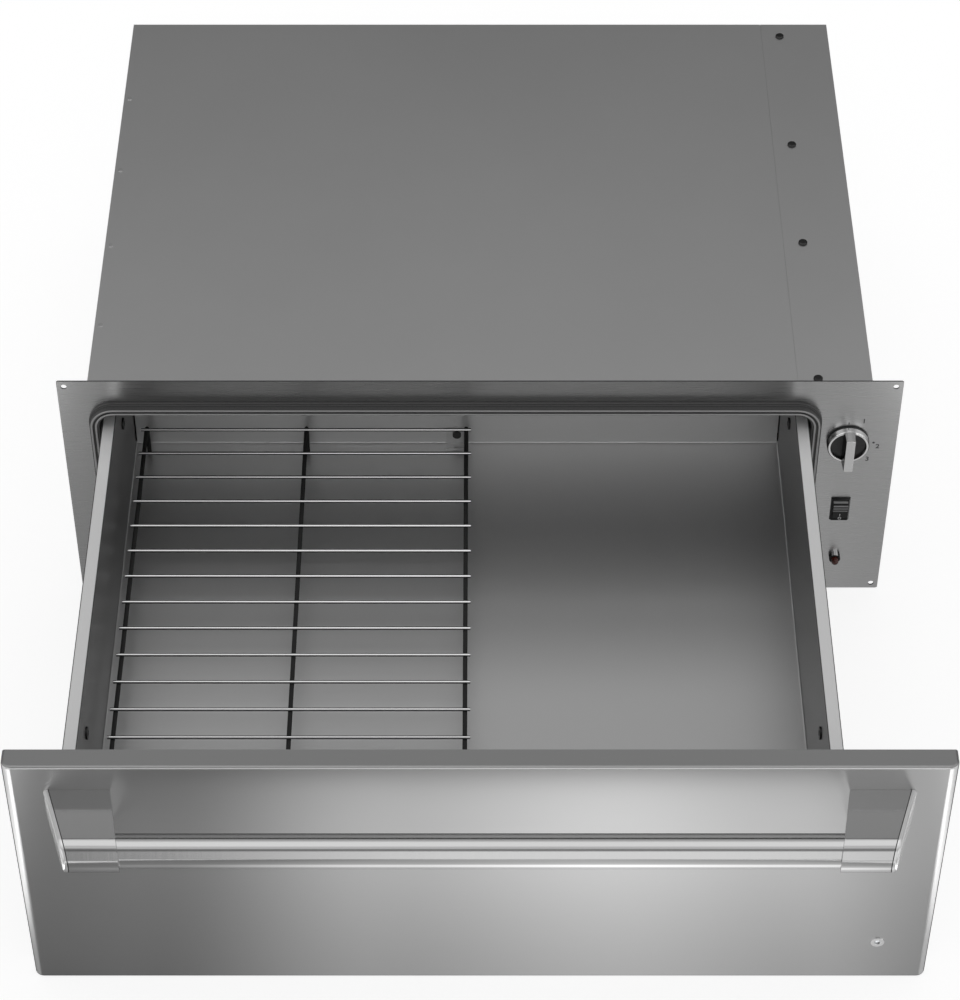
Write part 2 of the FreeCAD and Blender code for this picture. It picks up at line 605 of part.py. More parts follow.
def power_switch():
    """Rocker switch: bezel and body in one moulding, with the rocker on two trunnions."""
    half_w = SWITCH_WIDTH / 2
    half_l = SWITCH_LENGTH / 2
    face = FRAME_FRONT - SWITCH_BEZEL
    inner_w = half_w - SWITCH_RIM
    inner_l = half_l - SWITCH_RIM
    well_w = inner_w - SWITCH_WALL
    well_l = inner_l - SWITCH_WALL
    bezel = Part.makeLoft([rectangle(CONTROL_X, SWITCH_HEIGHT, half_w, half_l, FRAME_FRONT),
                           rectangle(CONTROL_X, SWITCH_HEIGHT, half_w - SWITCH_TAPER,
                                     half_l - SWITCH_TAPER, face)], True, True)
    body = box(CONTROL_X - inner_w, CONTROL_X + inner_w, FRAME_FRONT, SWITCH_BODY_DEPTH,
               SWITCH_HEIGHT - inner_l, SWITCH_HEIGHT + inner_l)
    well = box(CONTROL_X - well_w, CONTROL_X + well_w, face - 1, SWITCH_BODY_DEPTH / 2,
               SWITCH_HEIGHT - well_l, SWITCH_HEIGHT + well_l)
    pivot_y = FRAME_FRONT + SWITCH_PIVOT_DEPTH
    pin_holes = rod(CONTROL_X - inner_w - SWITCH_WALL / 2, pivot_y, SWITCH_HEIGHT,
                    SWITCH_PIN_RADIUS + FIT_GAP, 2 * inner_w + SWITCH_WALL, "x")
    keep("switch_housing", joined([bezel, body]).cut([well, pin_holes]))

    # The ends of the rocker are round about the pivot, so they clear the well as it rocks.
    rocker_w = well_w - ROCKER_CLEARANCE
    swing = well_l - ROCKER_CLEARANCE
    tilt = math.sin(math.radians(SWITCH_ANGLE))
    crease = face - ROCKER_PROUD
    side = [(pivot_y + ROCKER_KEEL, -ROCKER_KEEL_HALF), (pivot_y + ROCKER_EDGE, -swing),
            (crease, -swing), (crease, 0.0), (crease - swing * tilt, swing),
            (pivot_y - ROCKER_EDGE, swing), (pivot_y + ROCKER_KEEL, ROCKER_KEEL_HALF)]
    outline = [(CONTROL_X - rocker_w, y, SWITCH_HEIGHT + z) for y, z in side]
    rocker = prism(outline, (2 * rocker_w, 0, 0))
    rocker = rocker.common(rod(CONTROL_X - rocker_w, pivot_y, SWITCH_HEIGHT, swing, 2 * rocker_w, "x"))
    grooves = []
    for i in range(ROCKER_GROOVES):
        z = (i + 0.5) * ROCKER_GROOVE_PITCH
        grooves.append(rod(CONTROL_X - rocker_w - 1, crease - z * tilt, SWITCH_HEIGHT + z,
                           ROCKER_GROOVE_RADIUS, 2 * rocker_w + 2, "x"))
    rocker = rocker.cut(grooves)
    pin_half = inner_w - FIT_GAP
    pins = rod(CONTROL_X - pin_half, pivot_y, SWITCH_HEIGHT, SWITCH_PIN_RADIUS, 2 * pin_half, "x")
    keep("switch_rocker", joined([rocker, pins]))


def indicator():
    front = FRAME_FRONT - LAMP_BEZEL_THICK
    bezel = rod(CONTROL_X, front, LAMP_HEIGHT, LAMP_BEZEL_RADIUS, LAMP_BEZEL_THICK)
    body = rod(CONTROL_X, FRAME_FRONT, LAMP_HEIGHT, lamp_body_radius(), LAMP_BODY_LENGTH)
    seat = rod(CONTROL_X, front - 1, LAMP_HEIGHT, LAMP_RADIUS, 1 + LAMP_SEAT)
    keep("indicator_body", joined([bezel, body]).cut(seat))
    stem = rod(CONTROL_X, front - LAMP_REACH + LAMP_RADIUS, LAMP_HEIGHT, LAMP_RADIUS,
               LAMP_REACH - LAMP_RADIUS + LAMP_SEAT)
    dome = Part.makeSphere(LAMP_RADIUS, V(CONTROL_X, front - LAMP_REACH + LAMP_RADIUS, LAMP_HEIGHT))
    keep("indicator_lens", joined([stem, dome]))


def power_side():
    """Terminal block in the control bay and the bushing in the back wall."""
    width, depth, height = TERMINAL_SIZE
    back = CASE_BACK_INNER - TERMINAL_BACK_GAP
    floor = CASE_BOTTOM + CASE_SHEET
    block = box(CONTROL_X - width / 2, CONTROL_X + width / 2, back - depth, back, floor, floor + height)
    slots = []
    for i in range(TERMINAL_SLOTS):
        y = back - depth * (i + 1) / (TERMINAL_SLOTS + 1)
        slots.append(box(CONTROL_X - width, CONTROL_X + width, y - TERMINAL_SLOT / 2, y + TERMINAL_SLOT / 2,
                         floor + height - TERMINAL_SLOT_DEPTH, floor + height + 1))
    keep("terminal_block", block.cut(slots))
    lip_radius = INLET_RADIUS + INLET_LIP
    inner_lip = rod(CONTROL_X, CASE_BACK_INNER - INLET_LIP_THICK, INLET_HEIGHT, lip_radius, INLET_LIP_THICK)
    neck = rod(CONTROL_X, CASE_BACK_INNER, INLET_HEIGHT, INLET_RADIUS, CASE_SHEET)
    outer = Part.makeCone(lip_radius, INLET_RADIUS - INLET_LIP, INLET_LENGTH,
                          V(CONTROL_X, CASE_BACK, INLET_HEIGHT), V(0, 1, 0))
    bore = rod(CONTROL_X, CASE_BACK_INNER - INLET_LIP_THICK - 1, INLET_HEIGHT, INLET_BORE,
               INLET_LIP_THICK + CASE_SHEET + INLET_LENGTH + 2)
    keep("power_inlet_bushing", joined([inner_lip, neck, outer]).cut(bore))


# ---------------------------------------------------------------- slides
def channel(side, start, depth, height, y, web_first):
    """A C-section rail. Distances run from the liner wall towards the pan."""
    wall = PAN_OFFSET + side * LINER_HALF
    half = height / 2

    def piece(s0, s1, z0, z1):
        return box(wall - side * s0, wall - side * s1, y, y + RAIL_LENGTH,
                   RAIL_CENTRE + z0, RAIL_CENTRE + z1)
    web_at = start if web_first else start + depth - RAIL_SHEET
    parts = [piece(web_at, web_at + RAIL_SHEET, -half, half),
             piece(start, start + depth, half - RAIL_SHEET, half),
             piece(start, start + depth, -half, -half + RAIL_SHEET)]
    return joined(parts)


def mid_rail_height():
    return RAIL_HEIGHT - 2 * (RAIL_SHEET + RAIL_BALL_GAP)


def inner_rail_height():
    return mid_rail_height() - 2 * (RAIL_SHEET + RAIL_BALL_GAP)


def ball_cage(side, s, z, y):
    """A strip with balls that keeps two rails apart."""
    x = PAN_OFFSET + side * (LINER_HALF - s)
    radius = RAIL_BALL_GAP / 2 - BALL_CLEARANCE
    strip = box(x - CAGE_WIDTH / 2, x + CAGE_WIDTH / 2, y, y + CAGE_LENGTH,
                z - CAGE_SHEET / 2, z + CAGE_SHEET / 2)
    step = CAGE_LENGTH / BALL_COUNT
    balls = [Part.makeSphere(radius, V(x, y + (i + 0.5) * step, z)) for i in range(BALL_COUNT)]
    return joined([strip] + balls)


def rail_wall_screws(side):
    wall = PAN_OFFSET + side * PAN_WIDTH / 2
    screws = []
    for y in (RAIL_SCREW_BACK, RAIL_SCREW_FRONT):
        head = rod(min(wall, wall - side * RAIL_SCREW_HEAD_THICK), y, RAIL_CENTRE, RAIL_SCREW_HEAD,
                   RAIL_SCREW_HEAD_THICK, "x")
        reach = PAN_SHEET + RAIL_SHEET + RAIL_SCREW_SPARE
        shank = rod(min(wall, wall + side * reach), y, RAIL_CENTRE, RAIL_SCREW_RADIUS, reach, "x")
        face = wall - side * RAIL_SCREW_HEAD_THICK
        recess = rod(min(face, face + side * RAIL_SCREW_RECESS_DEPTH), y, RAIL_CENTRE, RAIL_SCREW_RECESS,
                     RAIL_SCREW_RECESS_DEPTH, "x")
        screws.append(joined([head, shank]).cut(recess))
    return screws


def screw_bores(side):
    wall = PAN_OFFSET + side * PAN_WIDTH / 2
    reach = SLIDE_SPACE / 2
    return [rod(wall - reach, y, RAIL_CENTRE, RAIL_SCREW_RADIUS, 2 * reach, "x")
            for y in (RAIL_SCREW_BACK, RAIL_SCREW_FRONT)]


def slides():
    inner_start = SLIDE_SPACE - INNER_RAIL_DEPTH
    y_outer = RAIL_SETBACK
    y_mid = RAIL_SETBACK - DRAWER_TRAVEL / 2
    y_inner = RAIL_SETBACK - DRAWER_TRAVEL
    screws = []
    for side, word in ((-1, "left"), (1, "right")):
        keep("outer_rail_" + word, channel(side, 0, OUTER_RAIL_DEPTH, RAIL_HEIGHT, y_outer, True))
        middle = channel(side, MID_RAIL_START, MID_RAIL_DEPTH, mid_rail_height(), y_mid, True)
        keep("mid_rail_" + word, middle)
        inner = channel(side, inner_start, INNER_RAIL_DEPTH, inner_rail_height(), y_inner, False)
        keep("inner_rail_" + word, inner.cut(screw_bores(side)))
        outer_z = RAIL_HEIGHT / 2 - RAIL_SHEET - RAIL_BALL_GAP / 2
        inner_z = mid_rail_height() / 2 - RAIL_SHEET - RAIL_BALL_GAP / 2
        s_outer = (MID_RAIL_START + OUTER_RAIL_DEPTH) / 2
        s_inner = (inner_start + MID_RAIL_START + MID_RAIL_DEPTH) / 2
        y_rear = y_mid + RAIL_LENGTH - CAGE_INSET - CAGE_LENGTH
        y_fore = y_mid + CAGE_INSET
        cages = []
        for sign in (-1, 1):
            cages.append(ball_cage(side, s_outer, RAIL_CENTRE + sign * outer_z, y_rear))
            cages.append(ball_cage(side, s_inner, RAIL_CENTRE + sign * inner_z, y_fore))
        keep("ball_cages_" + word, *cages)
        screws += rail_wall_screws(side)
    keep("rail_screws", *screws)


# ---------------------------------------------------------------- front panel
def panel_block(inset):
    """The panel's outside form, or its hollow when inset by the sheet."""
    half_x = PANEL_WIDTH / 2 - inset
    half_z = PANEL_HEIGHT / 2 - inset
    front = PANEL_FACE + inset
    back = PANEL_RIM + inset
    block = box(-half_x, half_x, front, back, -half_z, half_z)
    sides = [e for e in block.Edges if e.BoundBox.ZLength > half_z and abs(e.BoundBox.YMin - front) < 1e-6]
    block = block.makeFillet(PANEL_SIDE_RADIUS - inset, sides)
    top = [e for e in block.Edges
           if abs(e.BoundBox.ZMin - half_z) < 1e-6 and e.BoundBox.YMin < back - 1e-6]
    return block.makeFillet(PANEL_TOP_RADIUS - inset, top)


def bracket_centre():
    return (BRACKET_OUTER_FOOT + BRACKET_INNER_FOOT) / 2


def handle_screw_places():
    return [(side * bracket_centre(), HANDLE_HEIGHT + dz * HANDLE_SCREW_PITCH / 2)
            for side in (-1, 1) for dz in (-1, 1)]


def panel_liner_right():
    """Edge of the panel's liner: between the gasket and the knob."""
    gasket_edge = LINER_RIGHT + GASKET_WIDTH
    return (gasket_edge + CONTROL_X - KNOB_RADIUS) / 2 + PANEL_SHEET / 2


def front_panel():
    """A skin bent round both sides, closed by flat caps, with a liner and wool inside."""
    shell = panel_block(0).cut(panel_block(PANEL_SHEET))
    cuts = [rod(x, PANEL_FACE - CUT_LEAD, z, HANDLE_SCREW_RADIUS, SKIN_CUT) for x, z in handle_screw_places()]
    cuts.append(rod(CONTROL_X, PANEL_FACE - CUT_LEAD, LAMP_HEIGHT, WINDOW_RADIUS - WINDOW_RIM, SKIN_CUT))
    skin = shell.cut(cuts)
    edge = PANEL_HEIGHT / 2 - PANEL_SHEET
    for name, low in (("panel_top_cap", edge), ("panel_bottom_cap", -PANEL_HEIGHT / 2)):
        layer = box(-PANEL_WIDTH, PANEL_WIDTH, PANEL_FACE - CUT_LEAD, PANEL_RIM, low, low + PANEL_SHEET)
        keep(name, skin.common(layer).removeSplitter())
        skin = skin.cut(layer)
    keep("front_panel", skin)

    left = -PANEL_WIDTH / 2 + PANEL_SHEET
    right = panel_liner_right()
    half_z = PANEL_HEIGHT / 2 - PANEL_SHEET
    sheet = PANEL_LINER_SHEET
    tray = box(left, right, LINER_FACE - PANEL_LINER_EDGE, LINER_FACE, -half_z, half_z)
    hollow = box(left + sheet, right - sheet, LINER_FACE - PANEL_LINER_EDGE - 1, LINER_FACE - sheet,
                 -half_z + sheet, half_z - sheet)
    keep("panel_liner", tray.cut(hollow).common(panel_block(PANEL_SHEET)))

    round_side = PANEL_SIDE_RADIUS
    pad = box(left + round_side, right - sheet, PANEL_SKIN_BACK, LINER_FACE - sheet,
              -half_z + round_side, half_z - round_side)
    cuts = [rod(x, PANEL_FACE, z, HANDLE_SCREW_HEAD + 1, PANEL_DEPTH)
            for x, z in handle_screw_places()]
    keep("panel_insulation", pad.cut(cuts))


def handle():
    axis_y = PANEL_FACE - HANDLE_STANDOFF
    nose = HANDLE_RADIUS + BRACKET_WALL
    low = HANDLE_HEIGHT - nose
    high = HANDLE_HEIGHT + nose
    reach = HANDLE_STANDOFF + nose
    slope_out = (BRACKET_OUTER_FOOT - BRACKET_OUTER_NOSE) / HANDLE_STANDOFF
    slope_in = (BRACKET_INNER_FOOT - BRACKET_INNER_NOSE) / HANDLE_STANDOFF
    plan = prism([(BRACKET_INNER_FOOT, PANEL_FACE, low), (BRACKET_OUTER_FOOT, PANEL_FACE, low),
                  (BRACKET_OUTER_FOOT - slope_out * reach, PANEL_FACE - reach, low),
                  (BRACKET_INNER_FOOT - slope_in * reach, PANEL_FACE - reach, low)], (0, 0, 2 * nose))
    side = box(0, CASE_HALF, axis_y, PANEL_FACE, low, high)
    side = side.fuse(rod(0, axis_y, HANDLE_HEIGHT, nose, CASE_HALF, "x")).removeSplitter()
    bracket = plan.common(side).removeSplitter()
    outer = [e for e in bracket.Edges if is_on_outer_side(e, slope_out) and e.BoundBox.YLength > 1]
    bracket = bracket.makeFillet(BRACKET_EDGE, outer)
    bar_half = BRACKET_INNER_NOSE + BAR_SOCKET
    bore = rod(0, axis_y, HANDLE_HEIGHT, HANDLE_RADIUS, bar_half, "x")
    thread_start = PANEL_FACE - HANDLE_SCREW_DEPTH
    threads = [rod(x, thread_start, z, HANDLE_SCREW_RADIUS, HANDLE_SCREW_DEPTH + 1)
               for x, z in handle_screw_places() if x > 0]
    bracket = bracket.cut([bore] + threads)
    keep("handle_bracket_right", bracket)
    keep("handle_bracket_left", mirrored(bracket))
    keep("handle_bar", rod(-bar_half, axis_y, HANDLE_HEIGHT, HANDLE_RADIUS, 2 * bar_half, "x"))
    screws = []
    for x, z in handle_screw_places():
        shank = rod(x, thread_start, z, HANDLE_SCREW_RADIUS, HANDLE_SCREW_DEPTH + PANEL_SHEET)
        head = rod(x, PANEL_SKIN_BACK, z, HANDLE_SCREW_HEAD, HANDLE_SCREW_HEAD_THICK)
        screws.append(joined([shank, head]))
    keep("handle_screws", *screws)


def is_on_outer_side(edge, slope):
    """True for an edge that lies in the bracket's slanted outer side."""
    for vertex in edge.Vertexes:
        p = vertex.Point
        if abs(p.x - (BRACKET_OUTER_FOOT - slope * (PANEL_FACE - p.y))) > 1e-4:
            return False
    return True


def window():
    """The lamp shows through the panel here: a bright ring round a clear light guide."""
    face = PANEL_FACE - WINDOW_PROUD
    ring = rod(CONTROL_X, face, LAMP_HEIGHT, WINDOW_RADIUS, WINDOW_PROUD)
    neck = rod(CONTROL_X, PANEL_FACE, LAMP_HEIGHT, WINDOW_RADIUS - WINDOW_RIM, WINDOW_NECK)
    bore_radius = WINDOW_RADIUS - 2 * WINDOW_RIM + FIT_GAP
    bore = rod(CONTROL_X, face - 1, LAMP_HEIGHT, bore_radius, WINDOW_PROUD + WINDOW_NECK + 2)
    keep("window_ring", joined([ring, neck]).cut(bore))
    guide = WINDOW_PROUD + WINDOW_NECK - WINDOW_SUNK
    keep("window_lens", rod(CONTROL_X, face + WINDOW_SUNK, LAMP_HEIGHT, bore_radius, guide))


# ---------------------------------------------------------------- pan
def pan_block(inset, top):
    """The pan's outside form, or its hollow when inset by the sheet; bends run round the floor."""
    half = PAN_OUTER_HALF - inset
    floor = PAN_FLOOR - PAN_SHEET + inset
    block = box(PAN_OFFSET - half, PAN_OFFSET + half, PAN_FRONT + inset, PAN_BACK - inset, floor, top)
    bends = [e for e in block.Edges if abs(e.BoundBox.ZMax - floor) < 1e-6]
    return block.makeFillet(PAN_BEND + PAN_SHEET - inset, bends)


def drawer_pan():
    half = PAN_OUTER_HALF
    pan = pan_block(0, PAN_LIP_TOP).cut(pan_block(PAN_SHEET, PAN_LIP_TOP + 1))
    slits = []
    for side in (-1, 1):
        wall = PAN_OFFSET + side * half
        edge = wall + side * LIP_WIDTH
        pan = pan.fuse([box(wall, edge, PAN_FRONT, PAN_BACK, PAN_LIP_TOP - PAN_SHEET, PAN_LIP_TOP),
                        box(edge - side * PAN_SHEET, edge, PAN_FRONT, PAN_BACK,
                            PAN_LIP_TOP - LIP_HEM, PAN_LIP_TOP)])
        inside = wall - side * PAN_SHEET
        slits.append(box(inside - side * PAN_CORNER_SLIT, inside, PAN_BACK_INNER - 1, PAN_BACK + 1,
                         PAN_FLOOR + PAN_BEND, PAN_LIP_TOP + 1))
    pan = pan.removeSplitter().cut(slits + screw_bores(-1) + screw_bores(1))
    clip_hole = rod(PAN_OFFSET, PAN_BACK_INNER - CUT_LEAD, clip_screw_z(), CLIP_SCREW_RADIUS, SKIN_CUT)
    keep("drawer_pan", pan.cut(clip_hole))


def clip_screw_z():
    return PAN_FLOOR + CLIP_SCREW_RISE


def rear_clip():
    """An L-shaped clip that ties the back wall to the floor at the middle."""
    half = CLIP_WIDTH / 2
    back = box(PAN_OFFSET - half, PAN_OFFSET + half, PAN_BACK_INNER - CLIP_SHEET, PAN_BACK_INNER,
               PAN_FLOOR, PAN_FLOOR + CLIP_HEIGHT)
    foot = box(PAN_OFFSET - half, PAN_OFFSET + half, PAN_BACK_INNER - CLIP_FOOT, PAN_BACK_INNER,
               PAN_FLOOR, PAN_FLOOR + CLIP_SHEET)
    screw_y = PAN_BACK_INNER - CLIP_SHEET
    clip = joined([back, foot])
    heel = [e for e in clip.Edges if abs(e.BoundBox.ZMax - PAN_FLOOR) < 1e-6
            and abs(e.BoundBox.YMin - PAN_BACK_INNER) < 1e-6]
    clip = clip.makeFillet(PAN_BEND, heel)
    clip = clip.cut(rod(PAN_OFFSET, screw_y - CUT_LEAD, clip_screw_z(), CLIP_SCREW_RADIUS, SKIN_CUT))
    keep("rear_clip", clip)
    head = rod(PAN_OFFSET, screw_y - CLIP_SCREW_HEAD_THICK, clip_screw_z(), CLIP_SCREW_HEAD,
               CLIP_SCREW_HEAD_THICK)
    shank = rod(PAN_OFFSET, screw_y, clip_screw_z(), CLIP_SCREW_RADIUS,
                CLIP_SHEET + PAN_SHEET + CLIP_SCREW_SPARE)
    keep("rear_clip_screw", joined([head, shank]))


# ---------------------------------------------------------------- rack
def wire_rack():
    """Cross wires welded on three long rails whose ends bend down as legs."""
    left = PAN_OFFSET - PAN_WIDTH / 2 + RACK_LEFT_GAP
    right = left + RACK_WIDTH
    rear = PAN_BACK_INNER - RACK_REAR_WIRE
    front = rear - (RACK_WIRES - 1) * RACK_PITCH
    wires = [rod(left, rear - i * RACK_PITCH, RACK_WIRE_Z, RACK_WIRE_RADIUS, RACK_WIDTH, "x")
             for i in range(RACK_WIRES)]
    rail_z = RACK_WIRE_Z - RACK_WIRE_RADIUS - RACK_RAIL_RADIUS + RACK_WELD
    inset = RACK_OVERHANG + RACK_RAIL_RADIUS
    rails = []
    for x in (left + inset, (left + right) / 2, right - inset):
        rails.append(rack_rail(x, front - RACK_LEG_REACH, rear + RACK_LEG_REACH, rail_z))
    keep("wire_rack", joined(rails + wires))


def rack_rail(x, y_front, y_back, z):
    """One rail with both ends bent down to the pan's floor."""
    foot = PAN_FLOOR + RACK_LIFT_GAP
    bend = RACK_BEND
    turn = bend * (1 - math.sqrt(0.5))
    corner = bend * math.sqrt(0.5)
    path = [Part.LineSegment(V(x, y_front, foot), V(x, y_front, z - bend)).toShape(),
            Part.Arc(V(x, y_front, z - bend), V(x, y_front + turn, z - bend + corner),
                     V(x, y_front + bend, z)).toShape(),
            Part.LineSegment(V(x, y_front + bend, z), V(x, y_back - bend, z)).toShape(),
            Part.Arc(V(x, y_back - bend, z), V(x, y_back - turn, z - bend + corner),
                     V(x, y_back, z - bend)).toShape(),
            Part.LineSegment(V(x, y_back, z - bend), V(x, y_back, foot)).toShape()]
    circle = Part.Circle(V(x, y_front, foot), V(0, 0, 1), RACK_RAIL_RADIUS).toShape()
    return Part.Wire(path).makePipeShell([Part.Wire(circle)], True, False)


def build():
    front_frame()
    opening_gasket()
    case_sheets()
    bay_partition()
    cover_fasteners()
    cavity_liner()
    cavity_insulation()
    heating_element()
    element_fittings()
    sensor()
    thermostat()
    knob()
    power_switch()
    indicator()
    power_side()
    slides()
    front_panel()
    handle()
    window()
    drawer_pan()
    rear_clip()
    wire_rack()


build()
for name, shape in NODES.items():
    shape.exportStep(os.path.join("parts", name + ".step"))
    print(name, len(shape.Solids), round(shape.Volume, 1), shape.isValid())
print(len(NODES), "nodes")
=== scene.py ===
# %% [markdown]
# A built-in warming drawer, pulled out to its stops.
#
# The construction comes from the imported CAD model, which is loaded as a fixed frame.
# This lesson sets up the view and the studio, gives every sheet, casting and moulding its
# finish, rounds the edges that catch the light, and prints the marks of the dial and of
# the switch. The shapes of the solids themselves stay as they are.

# %% Load the frame
import math

import bpy
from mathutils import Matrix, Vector


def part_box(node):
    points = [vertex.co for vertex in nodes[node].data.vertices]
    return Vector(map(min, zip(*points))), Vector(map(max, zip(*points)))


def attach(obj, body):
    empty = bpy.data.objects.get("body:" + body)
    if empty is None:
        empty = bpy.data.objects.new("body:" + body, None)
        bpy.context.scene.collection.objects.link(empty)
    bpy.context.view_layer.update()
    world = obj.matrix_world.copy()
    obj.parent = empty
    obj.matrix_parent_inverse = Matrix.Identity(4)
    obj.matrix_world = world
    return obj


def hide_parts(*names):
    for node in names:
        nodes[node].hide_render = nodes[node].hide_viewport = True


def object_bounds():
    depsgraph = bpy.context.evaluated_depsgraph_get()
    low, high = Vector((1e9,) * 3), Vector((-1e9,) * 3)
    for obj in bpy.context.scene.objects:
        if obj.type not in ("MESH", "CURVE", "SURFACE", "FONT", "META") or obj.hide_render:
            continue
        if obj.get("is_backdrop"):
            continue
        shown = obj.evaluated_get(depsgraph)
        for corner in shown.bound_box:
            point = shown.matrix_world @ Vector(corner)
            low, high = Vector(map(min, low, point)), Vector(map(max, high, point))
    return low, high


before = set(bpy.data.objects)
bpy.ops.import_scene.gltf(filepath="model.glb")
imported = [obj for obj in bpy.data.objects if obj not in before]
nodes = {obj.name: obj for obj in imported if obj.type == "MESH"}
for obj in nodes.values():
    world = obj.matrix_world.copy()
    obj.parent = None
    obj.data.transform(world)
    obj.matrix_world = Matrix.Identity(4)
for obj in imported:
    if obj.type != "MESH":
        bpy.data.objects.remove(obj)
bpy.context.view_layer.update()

# %% [markdown]
# The view. The picture is 960 by 1000 pixels and Blender measures a lens on the longer
# side, so a focal length in pixels becomes a lens of pixels x 36 / 1000 millimetres.
# The camera stands 2 m in front of the frame and 2 m above it, and looks down at the
# drawer. It could be turned up to take in the rear of the case, but then every edge would
# change its slope. A small upward shift of the lens leaves the slopes alone.

# %% Camera
LENS_PIXELS = 3083.3
PICTURE_SIDE = 1000
SENSOR = 36.0
CAMERA_PLACE = (0.0, -2.0221, 1.9892)
CAMERA_PITCH = 45.851
CASE_SHIFT = 0.058
FARTHEST = 50


def add_camera():
    data = bpy.data.cameras.new("view")
    data.lens = LENS_PIXELS * SENSOR / PICTURE_SIDE
    data.sensor_width = SENSOR
    data.shift_y = CASE_SHIFT
    data.clip_end = FARTHEST
    camera = bpy.data.objects.new("view", data)
    camera.location = CAMERA_PLACE
    camera.rotation_euler = (math.radians(90 - CAMERA_PITCH), 0, 0)
    bpy.context.scene.collection.objects.link(camera)
    bpy.context.scene.camera = camera
    return camera


camera = add_camera()
print("camera lens", round(camera.data.lens, 2), "mm")

# %% [markdown]
# Small tools for materials. A shader tree could be built by hand, node by node. The same
# few groups come back in every finish of this drawer, so each is a short helper here: a
# sum or product of two values, a row of greys along a value, and a change of range.

# %% Arithmetic on values


def math_node(tree, operation, first, second=None):
    node = tree.nodes.new("ShaderNodeMath")
    node.operation = operation
    for socket, value in zip(node.inputs, (first, second)):
        if isinstance(value, (int, float)):
            socket.default_value = value
        elif value is not None:
            tree.links.new(value, socket)
    return node.outputs[0]


def size_of(tree, value):
    return math_node(tree, "ABSOLUTE", value)


def blend(tree, weight, low, high):
    """low where the weight is 0 and high where it is 1."""
    first = math_node(tree, "MULTIPLY", math_node(tree, "SUBTRACT", 1.0, weight), low)
    return math_node(tree, "ADD", first, math_node(tree, "MULTIPLY", weight, high))


print("arithmetic:", math_node.__name__, size_of.__name__, blend.__name__)

# %% Ranges and rows of greys
NOISE_LOW = 0.3     # nearly all of a noise lies between these two
NOISE_HIGH = 0.7


def ranged(tree, value, low, high, start=NOISE_LOW, end=NOISE_HIGH):
    """Carry a value from one range to another; the normal start and end suit a noise."""
    node = tree.nodes.new("ShaderNodeMapRange")
    node.inputs["From Min"].default_value = start
    node.inputs["From Max"].default_value = end
    node.inputs["To Min"].default_value = low
    node.inputs["To Max"].default_value = high
    tree.links.new(value, node.inputs["Value"])
    return node.outputs["Result"]


def rises(tree, value, start, end):
    """0 at the start, 1 at the end."""
    return ranged(tree, value, 0.0, 1.0, start, end)


def falls(tree, value, start, end):
    """1 at the start, 0 at the end."""
    return ranged(tree, value, 1.0, 0.0, start, end)


def grey_ramp(tree, value, stops):
    """A colour ramp of greys; stops are (place from 0 to 1, grey)."""
    ramp = tree.nodes.new("ShaderNodeValToRGB")
    ramp.color_ramp.interpolation = "EASE"
    elements = ramp.color_ramp.elements
    while len(elements) < len(stops):
        elements.new(0.5)
    for element, (place, grey) in zip(elements, stops):
        element.position = place
        element.color = (grey, grey, grey, 1)
    tree.links.new(value, ramp.inputs["Fac"])
    return ramp.outputs["Color"]


print("a noise is read from", NOISE_LOW, "to", NOISE_HIGH)

# %% [markdown]
# The room. Steel shows what stands round it, so the room is planned as a maker of
# catalogue pictures would plan it: white in front, pale above, and darker in steps
# towards the back. Lamps and cards could be set up for each band of light. One world with
# rows of greys is simpler, and its steps draw the bands along the handle and the fade on
# the case. The eye sees plain white, matt things are lit by an even world, and only
# glossy rays see the steps.

# %% What a ray belongs to


def ray_kind(tree, *kinds):
    """1 for rays of the named kinds, such as Is Camera Ray."""
    path = tree.nodes.new("ShaderNodeLightPath")
    total = path.outputs[kinds[0]]
    for kind in kinds[1:]:
        total = math_node(tree, "MAXIMUM", total, path.outputs[kind])
    return total


EYE_RAYS = ("Is Camera Ray", "Is Transmission Ray")
METAL_RAYS = ("Is Glossy Ray",)
print("the eye's rays:", EYE_RAYS, "metal's rays:", METAL_RAYS)

# %% The room that metal sees
# Height of the room round the X axis: 0 is the front horizon, 0.5 straight up, 1 the rear.
ROOM_STOPS = [(0.0, 1.12), (0.26, 1.12), (0.30, 0.3), (0.35, 0.3), (0.38, 0.75), (0.65, 0.75),
              (0.68, 0.12), (0.715, 0.35), (0.75, 0.5), (0.765, 0.58), (0.80, 0.02), (1.0, 0.1)]
# The front wall of the room, from its left to its right, and where it gives way to the rest.
SIDE_STOPS = [(0.0, 1.0), (0.30, 0.9), (0.42, 0.26), (0.45, 0.36), (0.475, 0.84), (0.50, 1.0),
              (0.545, 1.0), (0.58, 0.7), (0.66, 0.45), (0.80, 0.9)]
FRONT_WALL_STOPS = [(0.27, 1.0), (0.37, 0.0)]


def room_greys(tree):
    """The grey of the room in each direction."""
    place = tree.nodes.new("ShaderNodeTexCoord")
    split = tree.nodes.new("ShaderNodeSeparateXYZ")
    tree.links.new(place.outputs["Generated"], split.inputs[0])
    forwards = math_node(tree, "MULTIPLY", split.outputs["Y"], -1.0)
    height = math_node(tree, "ARCTAN2", split.outputs["Z"], forwards)
    turn = rises(tree, height, 0.0, math.pi)
    room = grey_ramp(tree, turn, ROOM_STOPS)
    sides = grey_ramp(tree, rises(tree, split.outputs["X"], -1.0, 1.0), SIDE_STOPS)
    front = grey_ramp(tree, turn, FRONT_WALL_STOPS)
    shade = math_node(tree, "MULTIPLY", front, math_node(tree, "SUBTRACT", 1.0, sides))
    return math_node(tree, "MULTIPLY", room, math_node(tree, "SUBTRACT", 1.0, shade))


print("steps in the room:", len(ROOM_STOPS))

# %% World
MATT_LIGHT = 0.5


def background(tree, strength=1.0):
    node = tree.nodes.new("ShaderNodeBackground")
    node.inputs["Color"].default_value = (1, 1, 1, 1)
    node.inputs["Strength"].default_value = strength
    return node


